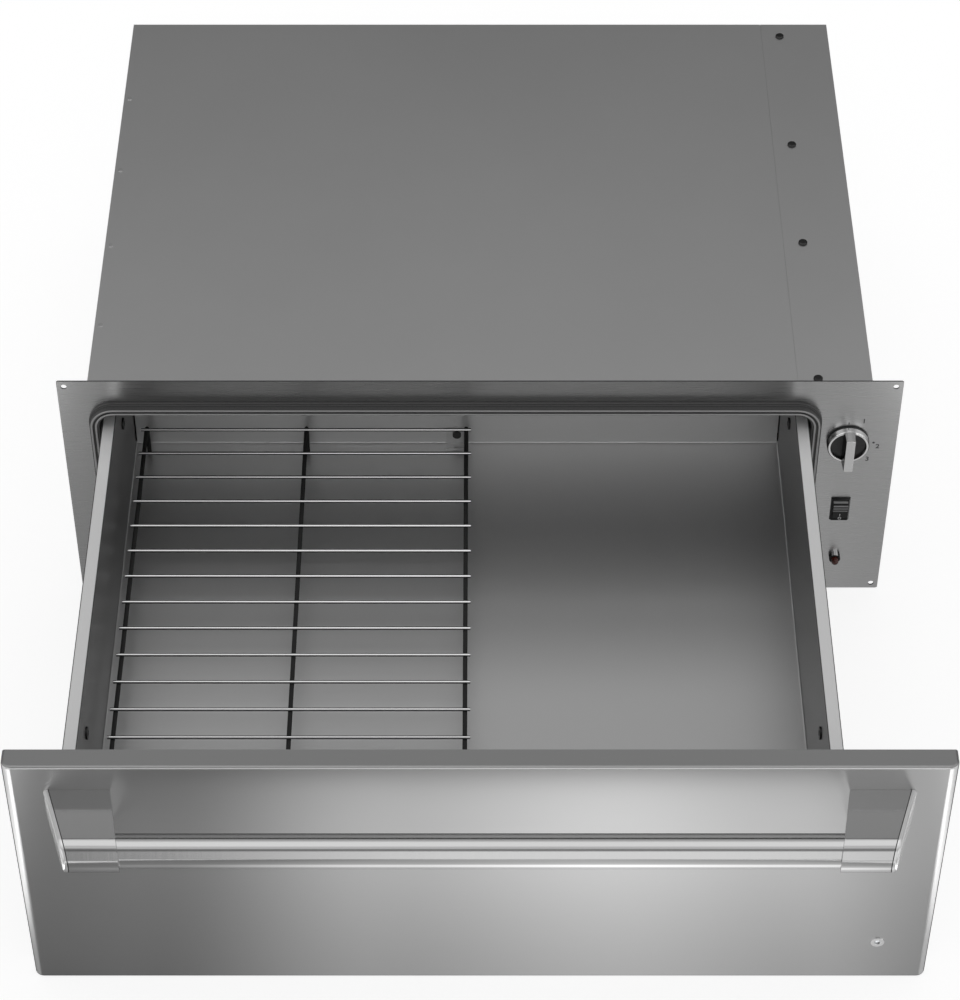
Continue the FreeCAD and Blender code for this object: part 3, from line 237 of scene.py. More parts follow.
def either(tree, weight, first, second):
    """The first shader where the weight is 0 and the second where it is 1."""
    mix = tree.nodes.new("ShaderNodeMixShader")
    tree.links.new(weight, mix.inputs["Fac"])
    tree.links.new(first.outputs[0], mix.inputs[1])
    tree.links.new(second.outputs[0], mix.inputs[2])
    return mix


def make_world():
    world = bpy.data.worlds.new("studio")
    world.use_nodes = True
    bpy.context.scene.world = world
    tree = world.node_tree
    tree.nodes.clear()
    mirrored = background(tree)
    tree.links.new(room_greys(tree), mirrored.inputs["Color"])
    lighting = either(tree, ray_kind(tree, *METAL_RAYS), background(tree, MATT_LIGHT), mirrored)
    for_eye = either(tree, ray_kind(tree, *EYE_RAYS), lighting, background(tree))
    out = tree.nodes.new("ShaderNodeOutputWorld")
    tree.links.new(for_eye.outputs[0], out.inputs["Surface"])
    return world


print("world:", make_world().name)

# %% [markdown]
# The floor. The drawer lies on a plain pale floor. The upright steel of the front looks
# down at this floor, so the pool of light on it is what gives the front panel its bright
# middle. A lamp could throw the pool, but would light the drawer as well. Here the floor
# glows a little by itself: evenly for the eye, and as a pool for metal. It also takes
# ordinary shading, so the drawer's shadow stays on it.

# %% Light on the floor
FLOOR_GREY = 0.38
FLOOR_GLOW = 0.8
POOL_HALF = 1.0
# The pool of light, from left to right of the drawer, as metal sees it.
POOL_STOPS = [(0.0, 0.5), (0.20, 0.6), (0.235, 2.4), (0.268, 2.2), (0.285, 0.02), (0.36, 0.14),
              (0.46, 0.66), (0.56, 1.0), (0.64, 0.76), (0.715, 0.3), (0.732, 2.2), (0.765, 2.4),
              (0.80, 0.6), (1.0, 0.5)]
POOL_FAR_END = -1.26
POOL_NEAR_END = -0.26
# Its strength from the open floor, through the hot middle, to the panel.
POOL_DEPTH_STOPS = [(0.0, 0.5), (0.42, 0.6), (0.52, 1.0), (0.605, 1.85), (0.72, 0.85),
                    (0.80, 0.72), (0.86, 0.72), (0.96, 0.3), (1.0, 0.3)]
FILL_START = -0.40          # beside the pulled-out drawer the floor is lit evenly
FILL_END = -0.25
FILL = 0.2


def floor_glow(tree):
    """How strongly the floor glows, for the eye and for metal."""
    place = tree.nodes.new("ShaderNodeTexCoord")
    split = tree.nodes.new("ShaderNodeSeparateXYZ")
    tree.links.new(place.outputs["Object"], split.inputs[0])
    x, y = split.outputs["X"], split.outputs["Y"]
    across = grey_ramp(tree, rises(tree, x, -POOL_HALF, POOL_HALF), POOL_STOPS)
    along = grey_ramp(tree, rises(tree, y, POOL_FAR_END, POOL_NEAR_END), POOL_DEPTH_STOPS)
    fill = ranged(tree, y, 0.0, FILL, FILL_START, FILL_END)
    pool = math_node(tree, "ADD", math_node(tree, "MULTIPLY", across, along), fill)
    eye = math_node(tree, "MULTIPLY", ray_kind(tree, *EYE_RAYS), FLOOR_GLOW)
    metal = math_node(tree, "MULTIPLY", ray_kind(tree, *METAL_RAYS), pool)
    return math_node(tree, "ADD", eye, metal)


def floor_material():
    material = bpy.data.materials.new("studio_floor")
    material.use_nodes = True
    tree = material.node_tree
    tree.nodes.clear()
    diffuse = tree.nodes.new("ShaderNodeBsdfDiffuse")
    diffuse.inputs["Color"].default_value = (FLOOR_GREY, FLOOR_GREY, FLOOR_GREY, 1)
    glow = tree.nodes.new("ShaderNodeEmission")
    glow.inputs["Color"].default_value = (1, 1, 1, 1)
    tree.links.new(floor_glow(tree), glow.inputs["Strength"])
    both = tree.nodes.new("ShaderNodeAddShader")
    out = tree.nodes.new("ShaderNodeOutputMaterial")
    tree.links.new(diffuse.outputs[0], both.inputs[0])
    tree.links.new(glow.outputs[0], both.inputs[1])
    tree.links.new(both.outputs[0], out.inputs["Surface"])
    return material


pale_floor = floor_material()
print("floor material:", pale_floor.name)

# %% Floor
FLOOR_GAP = 0.001
FLOOR_SIZE = 14.0


def deselect():
    if bpy.context.mode != "OBJECT":
        bpy.ops.object.mode_set(mode="OBJECT")
    bpy.ops.object.select_all(action="DESELECT")


def make_floor():
    deselect()
    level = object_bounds()[0][2] - FLOOR_GAP
    bpy.ops.mesh.primitive_plane_add(size=FLOOR_SIZE, location=(0, 0, level))
    floor = bpy.context.object
    floor.name = "studio_floor"
    bpy.ops.object.transform_apply(location=True, rotation=True, scale=True)
    floor.data.materials.append(pale_floor)
    floor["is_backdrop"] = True
    return floor


floor = make_floor()
bpy.context.scene.view_settings.view_transform = "Standard"
print("floor at", round(floor.data.vertices[0].co.z, 4))

# %% [markdown]
# The lamp. A large softbox hangs over the drawer and gives matt parts their form and the
# floor its shadow. Its strength is stated as the brightness of its own face, where 1 is
# white, because that is also what polished metal shows of it.

# %% Ceiling lamp
LAMP_PLACE = (0.1, -0.15, 2.7)
LAMP_AIM = (0.1, -0.15, 0)
LAMP_SIZE = (2.6, 1.5)
LAMP_BRIGHTNESS = 0.35


def add_lamp(name, place, aim, size, brightness):
    """A soft lamp; its brightness is that of its own face, where 1 is white."""
    data = bpy.data.lights.new(name, "AREA")
    data.shape = "RECTANGLE"
    data.size, data.size_y = size
    data.energy = brightness * math.pi * size[0] * size[1]
    lamp = bpy.data.objects.new(name, data)
    lamp.location = place
    direction = Vector(aim) - Vector(place)
    lamp.rotation_euler = direction.to_track_quat("-Z", "Y").to_euler()
    bpy.context.scene.collection.objects.link(lamp)
    return lamp


ceiling = add_lamp("ceiling_softbox", LAMP_PLACE, LAMP_AIM, LAMP_SIZE, LAMP_BRIGHTNESS)
print("lamp power", round(ceiling.data.energy, 1), "W")

# %% [markdown]
# A starting material. Nearly every finish on this drawer is the Principled shader with
# numbers of its own, made lively by a noise. Pictures of real metal could be wrapped
# round the pieces, but they need unwrapping and show seams. A noise on object coordinates
# needs neither, and it stays with its piece when the drawer slides.

# %% Shader, noise and bump
EVEN = (1, 1, 1)
FINE_DETAIL = 2.0
BUMP_DEPTH = 0.0002


def principled(name, colour, metallic, roughness, specular=0.5):
    material = bpy.data.materials.new(name)
    material.use_nodes = True
    shader = material.node_tree.nodes["Principled BSDF"]
    shader.inputs["Base Color"].default_value = (*colour, 1)
    shader.inputs["Metallic"].default_value = metallic
    shader.inputs["Roughness"].default_value = roughness
    shader.inputs["Specular IOR Level"].default_value = specular
    return material, material.node_tree, shader


def object_noise(tree, stretch, scale=1.0, detail=3.0):
    """Noise on object coordinates, squeezed by stretch along X, Y and Z."""
    place = tree.nodes.new("ShaderNodeTexCoord")
    mapping = tree.nodes.new("ShaderNodeMapping")
    mapping.inputs["Scale"].default_value = stretch
    noise = tree.nodes.new("ShaderNodeTexNoise")
    noise.inputs["Scale"].default_value = scale
    noise.inputs["Detail"].default_value = detail
    tree.links.new(place.outputs["Object"], mapping.inputs["Vector"])
    tree.links.new(mapping.outputs["Vector"], noise.inputs["Vector"])
    return noise.outputs["Fac"]


def add_bump(tree, shader, value, strength):
    bump = tree.nodes.new("ShaderNodeBump")
    bump.inputs["Strength"].default_value = strength
    bump.inputs["Distance"].default_value = BUMP_DEPTH
    tree.links.new(value, bump.inputs["Height"])
    tree.links.new(bump.outputs["Normal"], shader.inputs["Normal"])


def fine_grain(tree, shader, scale, low, high, bump):
    """A grain that carries the roughness from low to high and raises the surface a little."""
    fine = object_noise(tree, EVEN, scale, FINE_DETAIL)
    tree.links.new(ranged(tree, fine, low, high), shader.inputs["Roughness"])
    add_bump(tree, shader, fine, bump)


print("a bump of full strength is", BUMP_DEPTH * 1000, "mm deep")

# %% Where a face looks, where it lies, and what it wears


def normal_parts(tree):
    """Which way a face looks, as its X, Y and Z."""
    normal = tree.nodes.new("ShaderNodeNewGeometry")
    parts = tree.nodes.new("ShaderNodeSeparateXYZ")
    tree.links.new(normal.outputs["Normal"], parts.inputs[0])
    return parts.outputs["X"], parts.outputs["Y"], parts.outputs["Z"]


def object_parts(tree):
    """Where a point lies on its object, as X, Y and Z."""
    place = tree.nodes.new("ShaderNodeTexCoord")
    parts = tree.nodes.new("ShaderNodeSeparateXYZ")
    tree.links.new(place.outputs["Object"], parts.inputs[0])
    return parts.outputs["X"], parts.outputs["Y"], parts.outputs["Z"]


def finish(material, *names):
    """Give CAD nodes their finish."""
    for name in names:
        slots = nodes[name].material_slots
        if not slots:
            nodes[name].data.materials.append(material)
        for slot in nodes[name].material_slots:
            slot.material = material
    print(material.name, "on", len(names), "nodes")


print("nodes to finish:", len(nodes))

# %% [markdown]
# Brushed stainless steel. Rolling and brushing leave fine scratches that run one way,
# here left to right. They could be modelled as bumps alone, but each is finer than a
# pixel. So a noise that is stretched along the scratches drives the roughness and a weak
# bump, and the shader's anisotropy does the rest: it blurs a reflection along its
# tangent. The tangent is set across the scratches, and the pool of light on the floor
# turns into an upright band on the panel.

# %% Direction of the scratches
AXIS_LEAN = 0.02    # keeps the tangent from vanishing on a face that looks along the scratches
ROUND_LEAN = 0.05   # the same, for scratches that run round an axis


def across_scratches(tree, direction):
    """A tangent at right angles to the scratches."""
    axis = tree.nodes.new("ShaderNodeCombineXYZ")
    if len(direction) == 2:
        for name in "XYZ":
            axis.inputs[name].default_value = ROUND_LEAN if name in direction else 1.0
        return axis.outputs[0]
    for name in "XYZ":
        axis.inputs[name].default_value = 1.0 if name == direction else AXIS_LEAN
    normal = tree.nodes.new("ShaderNodeNewGeometry")
    cross = tree.nodes.new("ShaderNodeVectorMath")
    cross.operation = "CROSS_PRODUCT"
    tree.links.new(normal.outputs["Normal"], cross.inputs[0])
    tree.links.new(axis.outputs[0], cross.inputs[1])
    return cross.outputs[0]


print("an axis leans by", AXIS_LEAN, "or", ROUND_LEAN)

# %% Brushed steel
GRAIN_ALONG = 14.0
GRAIN_ACROSS = 2600.0
GRAIN_BUMP = 0.004
TONE_SPREAD = 0.01


def brushed_steel(name, grey, roughness, spread=0.015, direction="X", anisotropy=0.6, tones=None):
    """Steel with scratches along one axis, or round an axis where direction names the other two."""
    material, tree, shader = principled(name, (grey, grey, grey), 1.0, roughness)
    stretch = [GRAIN_ALONG if axis in direction else GRAIN_ACROSS for axis in "XYZ"]
    grain = object_noise(tree, stretch)
    smooth = ranged(tree, grain, roughness - spread, roughness + spread)
    tree.links.new(smooth, shader.inputs["Roughness"])
    tone = ranged(tree, grain, grey * (1 - TONE_SPREAD), grey * (1 + TONE_SPREAD))
    if tones is not None:
        tone = tones(tree, shader, tone)
    tree.links.new(tone, shader.inputs["Base Color"])
    shader.inputs["Anisotropic"].default_value = anisotropy
    tree.links.new(across_scratches(tree, direction), shader.inputs["Tangent"])
    add_bump(tree, shader, grain, GRAIN_BUMP)
    return material


print("a scratch is about", round(GRAIN_ACROSS / GRAIN_ALONG), "times as long as it is wide")

# %% [markdown]
# Edges of the sheet. At the front panel's sides and top the sheet is folded back. The fold
# gets a painted highlight, paler and less metallic than the brushed face, and the bend
# behind it gets painted shade. The frame's edge is sheared; it gets painted shade, and the
# bevel beside it a painted highlight. Each could be a strip of faces with a material of its
# own. Here one material tells the places apart by the way a face looks, which needs no
# extra faces and follows the shape.

# %% Painted highlights and shade on edges
# Painted light on edges: the grey of a painted highlight and how metallic it stays, and the grey and
# roughness of painted shade.
HIGHLIGHT_GREY = 0.95
SHADE_GREY = 0.04
HIGHLIGHT_METALLIC = 0.45   # how metallic a painted highlight still is
DARK_ROUGHNESS = 0.9


def dull_where(tree, shader, mask, metallic=1.0):
    """Where the mask is 1 the surface is neither metallic nor glossy, so painted shade and black stay dark.
    """
    tree.links.new(blend(tree, mask, metallic, 0.0), shader.inputs["Metallic"])
    smooth = shader.inputs["Roughness"].links[0].from_socket
    tree.links.new(blend(tree, mask, smooth, DARK_ROUGHNESS), shader.inputs["Roughness"])


print("edges run from grey", SHADE_GREY, "to", HIGHLIGHT_GREY)

# %% Front panel
# Each pair is how far a face has turned where its effect starts and where it is full.
FOLD_TURN = (0.2, 0.4)
BEHIND_TURN = (0.78, 0.86)
BELOW_TURN = (-0.3, -0.6)
FLAT_TURN = (0.985, 0.997)      # a face that has turned this far is flat and no bend


def panel_edges(tree, shader, tone):
    """Painted highlight on the folded sides and top; painted shade on the bends behind them and below."""
    x, y, z = normal_parts(tree)
    side = size_of(tree, x)
    flat_below = [-turn for turn in FLAT_TURN]
    fold = math_node(tree, "MAXIMUM", rises(tree, side, *FOLD_TURN), rises(tree, z, *FOLD_TURN))
    behind = math_node(tree, "MULTIPLY", rises(tree, side, *BEHIND_TURN), falls(tree, side, *FLAT_TURN))
    below = math_node(tree, "MULTIPLY", rises(tree, z, *BELOW_TURN), falls(tree, z, *flat_below))
    away = math_node(tree, "MAXIMUM", behind, below)
    dull_where(tree, shader, away, blend(tree, fold, 1.0, HIGHLIGHT_METALLIC))
    return blend(tree, away, blend(tree, fold, tone, HIGHLIGHT_GREY), SHADE_GREY)


brushed_panel = brushed_steel("brushed_panel", grey=0.5, roughness=0.32, anisotropy=0.75, tones=panel_edges)
finish(brushed_panel, "front_panel")
# The caps are a darker copy of the panel's steel: their grey is painted shade on the top and bottom faces.
shaded_cap = brushed_steel("shaded_cap", grey=0.38, roughness=0.32, anisotropy=0.75)
finish(shaded_cap, "panel_top_cap", "panel_bottom_cap")

# %% Front frame
CUT_TURN = (0.3, 0.6)
FRAME_HIGHLIGHT_TURN = (0.9, 0.97)


def frame_edges(tree, shader, tone):
    """The frame's sheared edge gets painted shade, and the bevel beside it a painted highlight."""
    facing = size_of(tree, normal_parts(tree)[1])
    dull_where(tree, shader, falls(tree, facing, *CUT_TURN))
    edge = blend(tree, rises(tree, facing, *CUT_TURN), SHADE_GREY, HIGHLIGHT_GREY)
    return blend(tree, rises(tree, facing, *FRAME_HIGHLIGHT_TURN), edge, tone)


brushed_frame = brushed_steel("brushed_frame", grey=0.5, roughness=0.28, anisotropy=0.7, tones=frame_edges)
finish(brushed_frame, "front_frame")

# %% [markdown]
# The handle. A bar sits between two brackets that lean in towards the middle. It is
# polished finer than the panel, so it takes a low roughness and hardly any anisotropy,
# and the steps of the room show as bands along it. The brackets get a painted highlight,
# a pale strip down their outer side, and painted shade in their inner corners and joints.
# Separate faces could hold these. Here the place of a point gives the strip and the way a
# face looks gives the corners, so that one material does for all three pieces.

# %% Handle
PANEL_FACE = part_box("front_panel")[0].y
BRACKET_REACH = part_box("handle_bracket_right")[1].x
BRACKET_LEAN = 0.311        # the outer side leans in towards the bar
BRACKET_STRIP = 0.0038      # width of the painted highlight down the rounded outer side
# A line of painted shade just inside the highlight strip.
STRIP_SHADE_LINE = 0.0008
CORNER_STARTS = (0.1, 0.3)
CORNER_ENDS = (0.7, 0.85)
REAR_TURN = (0.5, 0.75)
UNDER_TURN = (-0.5, -0.8)


def inner_corner(tree, side):
    """1 where a face turns from the front or top into a side."""
    starts = rises(tree, side, *CORNER_STARTS)
    return math_node(tree, "MULTIPLY", starts, falls(tree, side, *CORNER_ENDS))


def outer_reach(tree):
    """How far out a point lies, with the lean of the bracket's outer side taken off."""
    x, y, z = object_parts(tree)
    depth = math_node(tree, "SUBTRACT", PANEL_FACE, y)
    return math_node(tree, "ADD", size_of(tree, x), math_node(tree, "MULTIPLY", depth, BRACKET_LEAN))


def handle_edges(tree, shader, tone):
    """Painted shade in inner corners and joints, and a painted highlight as a pale strip down each
    bracket's outer side.
    """
    nx, ny, nz = normal_parts(tree)
    reach = outer_reach(tree)
    strip = math_node(tree, "GREATER_THAN", reach, BRACKET_REACH - BRACKET_STRIP)
    line = math_node(tree, "GREATER_THAN", reach, BRACKET_REACH - BRACKET_STRIP - STRIP_SHADE_LINE)
    joint = math_node(tree, "MAXIMUM", rises(tree, ny, *REAR_TURN), rises(tree, nz, *UNDER_TURN))
    dark = math_node(tree, "MAXIMUM", inner_corner(tree, size_of(tree, nx)), line)
    dark = math_node(tree, "MAXIMUM", dark, joint)
    dark = math_node(tree, "MULTIPLY", dark, math_node(tree, "SUBTRACT", 1.0, strip))
    dull_where(tree, shader, dark, blend(tree, strip, 1.0, HIGHLIGHT_METALLIC))
    return blend(tree, dark, blend(tree, strip, tone, HIGHLIGHT_GREY), SHADE_GREY)


brushed_handle = brushed_steel("brushed_handle", grey=0.58, roughness=0.13, spread=0.03,
                               direction="YZ", anisotropy=0.1, tones=handle_edges)
finish(brushed_handle, "handle_bar", "handle_bracket_left", "handle_bracket_right")

# %% [markdown]
# Satin sheet. The case, the cavity and the slides are plain mill-finish or plated sheet,
# with no scratches that show. One even grey would do, but real sheet is never that even.
# Two noises make it: a wide one for a faint cloud, and a fine one for the roughness.

# %% Satin sheet
CLOUD_SCALE = 5.0
CLOUD_DETAIL = 4.0
SHEET_GRAIN = 1080.0
SHEET_BUMP = 0.03
SHEET_SPREAD = 0.05


def satin_sheet(name, grey, roughness, cloud=0.05, bump=SHEET_BUMP):
    material, tree, shader = principled(name, (grey, grey, grey), 1.0, roughness)
    clouds = object_noise(tree, EVEN, CLOUD_SCALE, CLOUD_DETAIL)
    tone = ranged(tree, clouds, grey * (1 - cloud), grey * (1 + cloud))
    tree.links.new(tone, shader.inputs["Base Color"])
    fine_grain(tree, shader, SHEET_GRAIN, roughness - SHEET_SPREAD, roughness + SHEET_SPREAD, bump)
    return material


case_sheet = satin_sheet("case_sheet", grey=0.68, roughness=0.34, cloud=0.02, bump=0.008)
finish(case_sheet, "case_top", "case_left_side", "control_cover", "case_bottom", "case_back",
       "bay_partition")
finish(satin_sheet("liner_sheet", grey=0.5, roughness=0.5), "cavity_liner", "panel_liner")
plated_parts = satin_sheet("plated_parts", grey=0.62, roughness=0.35)
for side in ("left", "right"):
    finish(plated_parts, f"outer_rail_{side}", f"mid_rail_{side}", f"inner_rail_{side}")
finish(plated_parts, "rear_clip", "element_support_1", "element_support_2", "element_support_3",
       "sensor_bulb", "sensor_clips", "thermostat_nut", "knob_shaft", "handle_screws", "top_rivets")

# %% [markdown]
# The pan. Its floor keeps the satin of the sheet, its side walls are painted darker as
# shade, and the lips that are turned out at the top get a painted highlight, pale and less
# metallic, between two lines of painted shade along their rolled edges. Three materials on
# three sets of faces could do it. Here a lip is found by its height and by looking up, and
# its rolled edges by their distance from the pan's middle.

# %% Pan
# The walls' grey is painted shade; the lips' pale grey and lower metal are a painted highlight, edged with
# painted shade.
PAN_WALL_SHADE_GREY = 0.28
PAN_FLOOR_GREY = 0.68
PAN_ROUGHNESS = 0.42
PAN_SPREAD = 0.04
WALL_TURN = (0.5, 0.9)
LIP_TURN = (0.3, 0.6)
LIP_HIGHLIGHT_GREY = 0.95
LIP_HIGHLIGHT_METALLIC = 0.35
LIP_SHEET = 0.001
LIP_WIDTH = 0.0114
LIP_EDGE = 0.0009


def lip_grey(tree, from_middle, outer):
    """Painted highlight along the middle of a lip and painted shade along its two rolled edges."""
    inner = outer - LIP_WIDTH
    inside = rises(tree, from_middle, inner + LIP_EDGE / 2, inner + LIP_EDGE)
    outside = falls(tree, from_middle, outer - LIP_EDGE, outer - LIP_EDGE / 2)
    return blend(tree, math_node(tree, "MULTIPLY", inside, outside), SHADE_GREY, LIP_HIGHLIGHT_GREY)


def pan_finish():
    """Satin floor, side walls painted darker as shade, and lips with a painted highlight between painted
    dark edges.
    """
    material, tree, shader = principled("pan_sheet", (PAN_FLOOR_GREY,) * 3, 1.0, PAN_ROUGHNESS)
    low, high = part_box("drawer_pan")
    nx, ny, nz = normal_parts(tree)
    x, y, z = object_parts(tree)
    wall = rises(tree, size_of(tree, nx), *WALL_TURN)
    at_top = math_node(tree, "GREATER_THAN", z, high.z - LIP_SHEET)
    lip = math_node(tree, "MULTIPLY", rises(tree, nz, *LIP_TURN), at_top)
    from_middle = size_of(tree, math_node(tree, "SUBTRACT", x, (high.x + low.x) / 2))
    pale = lip_grey(tree, from_middle, (high.x - low.x) / 2)
    sheet = blend(tree, wall, PAN_FLOOR_GREY, PAN_WALL_SHADE_GREY)
    tree.links.new(blend(tree, lip, sheet, pale), shader.inputs["Base Color"])
    tree.links.new(blend(tree, lip, 1.0, LIP_HIGHLIGHT_METALLIC), shader.inputs["Metallic"])
    smoothest = PAN_ROUGHNESS - PAN_SPREAD
    fine_grain(tree, shader, SHEET_GRAIN, smoothest, PAN_ROUGHNESS + PAN_SPREAD, SHEET_BUMP)
    return material


finish(pan_finish(), "drawer_pan")

# %% [markdown]
# Moulded plastic. The switch, the knob's body and the parts in the control bay come out
# of a mould, whose fine grain they keep. A plain colour could stand for it, but the grain
# softens their reflections unevenly, and that is what tells plastic from paint. So one
# noise varies the roughness and raises a weak bump.

# %% Moulded parts
MOULD_GRAIN = 900.0
MOULD_BUMP = 0.05
SMOOTHER = 0.04
ROUGHER = 0.06
BLACK_SPECULAR = 0.3


def moulded(name, colour, roughness, grain=MOULD_GRAIN, bump=MOULD_BUMP, specular=0.5):
    material, tree, shader = principled(name, colour, 0.0, roughness, specular)
    fine_grain(tree, shader, grain, roughness - SMOOTHER, roughness + ROUGHER, bump)
    return material


black_plastic = moulded("black_plastic", (0.006, 0.006, 0.0065), roughness=0.2, specular=BLACK_SPECULAR)
finish(black_plastic, "switch_housing")
bay_plastic = moulded("bay_plastic", (0.03, 0.03, 0.032), roughness=0.5)
finish(bay_plastic, "thermostat_body", "terminal_block", "power_inlet_bushing")
finish(moulded("knob_dark", (0.022, 0.023, 0.024), roughness=0.3), "knob_body")

# %% [markdown]
# The gasket. A ribbed rubber seal runs round the opening. Its crests get a painted
# highlight, pale grey, and its valleys keep the rubber's dark grey. Two rubbers could be
# given to two sets of faces, but the painted highlight fades from crest to valley. So the
# depth of a point behind the crests gives the grey, and faces that look sideways get
# painted shade.

# %% Gasket
# Crests get a painted highlight, valleys keep the rubber's grey, and sideways faces get painted shade.
CREST_HIGHLIGHT_GREY = 0.5
VALLEY_GREY = 0.085
CREST_DEPTH = 0.0015
RIB_WALL_SHADE = 0.065
RIB_TURN = (0.25, 0.6)


def ribbed_rubber():
    """Grey rubber with painted highlights on its crests and painted shade on its sideways faces."""
    material = moulded("gasket_rubber", (0.08, 0.08, 0.08), roughness=0.3)
    tree = material.node_tree
    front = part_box("opening_gasket")[0].y
    crest = ranged(tree, object_parts(tree)[1], CREST_HIGHLIGHT_GREY, VALLEY_GREY, front, front + CREST_DEPTH)
    facing = rises(tree, size_of(tree, normal_parts(tree)[1]), *RIB_TURN)
    grey = blend(tree, facing, RIB_WALL_SHADE, crest)
    tree.links.new(grey, tree.nodes["Principled BSDF"].inputs["Base Color"])
    return material


finish(ribbed_rubber(), "opening_gasket")

# %% [markdown]
# The rocker. Its upper half has thumb ribs, whose crests get painted grey highlights.
# They could be cut into the mesh. They are very low, though, and all that shows of them
# is the grey, so a wave along the height draws them.

# %% Ribs of the rocker
RIB_START = -0.0272    # the ribs begin just below the middle of the rocker
RIB_MIDDLE = -0.026
RIB_PITCH = 0.0026
RIB_EDGE = (-0.2, 0.5)
# The ribs' crests are painted grey highlights on the black rocker.
RIB_HIGHLIGHT_GREY = 0.42
ROCKER_GREY = 0.012
ROCKER_ROUGHNESS = 0.25
ROCKER_SPREAD = 0.05


def ribbed_plastic():
    """Black plastic; the ribs' crests get painted grey highlights."""
    colour = (0.02, 0.02, 0.021)
    material, tree, shader = principled("rocker_plastic", colour, 0.0, ROCKER_ROUGHNESS, BLACK_SPECULAR)
    height = object_parts(tree)[2]
    above = math_node(tree, "SUBTRACT", height, RIB_MIDDLE)
    turn = math_node(tree, "MULTIPLY", above, 2 * math.pi / RIB_PITCH)
    crest = rises(tree, math_node(tree, "COSINE", turn), *RIB_EDGE)
    ribs = math_node(tree, "MULTIPLY", crest, math_node(tree, "GREATER_THAN", height, RIB_START))
    tree.links.new(blend(tree, ribs, ROCKER_GREY, RIB_HIGHLIGHT_GREY), shader.inputs["Base Color"])
    smoothest = ROCKER_ROUGHNESS - ROCKER_SPREAD
    fine_grain(tree, shader, MOULD_GRAIN, smoothest, ROCKER_ROUGHNESS + ROCKER_SPREAD, MOULD_BUMP)
    return material


finish(ribbed_plastic(), "switch_rocker")

# %% [markdown]
# Bright metal. The knob's ring, the rack's wires and the lamp's bezel are plated. A
# curved piece mirrors nearly the whole room, bright and dark side by side, and polish
# alone would leave it to chance which shows. So the way a face looks decides it, and the
# colour is painted: painted shade on the ring's lower skirt and under the wires and the
# long rails, and a painted highlight on the bezel's upper rim, whose black is its own.

# %% Plated metal
PLATED_GRAIN = 300.0
PLATED_SPREAD = (0.7, 1.4)
PLATED_GREY = 0.9
# The dark grey of painted shade on the ring and the rack, and of the bezel's own black.
SHADE_AND_BLACK_GREY = 0.02


def bright_metal(name, grey, roughness):
    material, tree, shader = principled(name, (grey, grey, grey), 1.0, roughness)
    fine = object_noise(tree, EVEN, PLATED_GRAIN, FINE_DETAIL)
    low, high = (roughness * share for share in PLATED_SPREAD)
    tree.links.new(ranged(tree, fine, low, high), shader.inputs["Roughness"])
    return material


def lit_and_shaded_metal(name, roughness, dark_mask):
    """Bright metal that is painted dark and dull wherever the mask is 1: painted shade on the ring and the
    rack, and the bezel's own black.
    """
    material = bright_metal(name, PLATED_GREY, roughness)
    tree = material.node_tree
    shader = tree.nodes["Principled BSDF"]
    mask = dark_mask(tree)
    tree.links.new(blend(tree, mask, PLATED_GREY, SHADE_AND_BLACK_GREY), shader.inputs["Base Color"])
    dull_where(tree, shader, mask)
    return material


polished_ring = bright_metal("polished_ring", grey=0.8, roughness=0.1)
finish(polished_ring, "window_ring", "ball_cages_left", "ball_cages_right")
dark_screw = bright_metal("dark_screw", grey=0.06, roughness=0.35)
finish(dark_screw, "cover_screws", "rail_screws", "rear_clip_screw")

# %% Ring, rack and lamp
RING_FACE_TURN = (0.85, 0.97)
RING_TOP_TURN = (0.2, 0.6)
WIRE_UP = 0.75
WIRE_FRONT = 0.66
WIRE_HIGHLIGHT_TURN = (0.78, 0.9)
RIM_TURN = (0.8, 0.92)


def ring_skirt(tree):
    """The ring keeps bright metal on its face and on top, and its lower skirt gets painted shade."""
    x, y, z = normal_parts(tree)
    skirt = falls(tree, size_of(tree, y), *RING_FACE_TURN)
    return math_node(tree, "MULTIPLY", skirt, falls(tree, z, *RING_TOP_TURN))


def wire_underside(tree):
    """Wires get a painted highlight along their upper front, and painted shade below and on the long rails.
    """
    x, y, z = normal_parts(tree)
    up = math_node(tree, "MULTIPLY", z, WIRE_UP)
    upper_front = math_node(tree, "SUBTRACT", up, math_node(tree, "MULTIPLY", y, WIRE_FRONT))
    return falls(tree, upper_front, *WIRE_HIGHLIGHT_TURN)


def below_the_rim(tree):
    """The lamp's black bezel gets a painted highlight on its upper rim."""
    return falls(tree, normal_parts(tree)[2], *RIM_TURN)


# Painted shade on the ring's skirt and the rack, and a painted highlight on the bezel's rim.
finish(lit_and_shaded_metal("knob_bright", 0.1, ring_skirt), "knob_ring")
finish(lit_and_shaded_metal("rack_chrome", 0.07, wire_underside), "wire_rack")
finish(lit_and_shaded_metal("lamp_bezel", 0.12, below_the_rim), "indicator_body")

# %% [markdown]
# The knob's grip. It is a bar of brushed steel whose scratches run up and down, and whose
# sides are painted dark as shade. A material could be built for it from the start, but it
# is the panel's steel turned upright, so the same helper makes it.

# %% Grip
GRIP_TURN = (0.3, 0.6)


def grip_edges(tree, shader, tone):
    """The grip's front keeps its steel tone, and its sides and corners are painted dark as shade."""
    side = size_of(tree, normal_parts(tree)[0])
    return blend(tree, rises(tree, side, *GRIP_TURN), tone, SHADE_GREY)


finish(brushed_steel("grip_steel", grey=0.75, roughness=0.25, direction="Z", tones=grip_edges), "knob_grip")

# %% [markdown]
# Inside the case. The heating element is a dark metal sheath in ceramic bushes, and wool
# fills the space round the cavity and in the front panel. Hardly any of it shows, so one
# grey would do. A drawer that is taken apart shows all of it, though, so each has a colour
# of its own. Wool is soft, and its bump is strong and coarse.

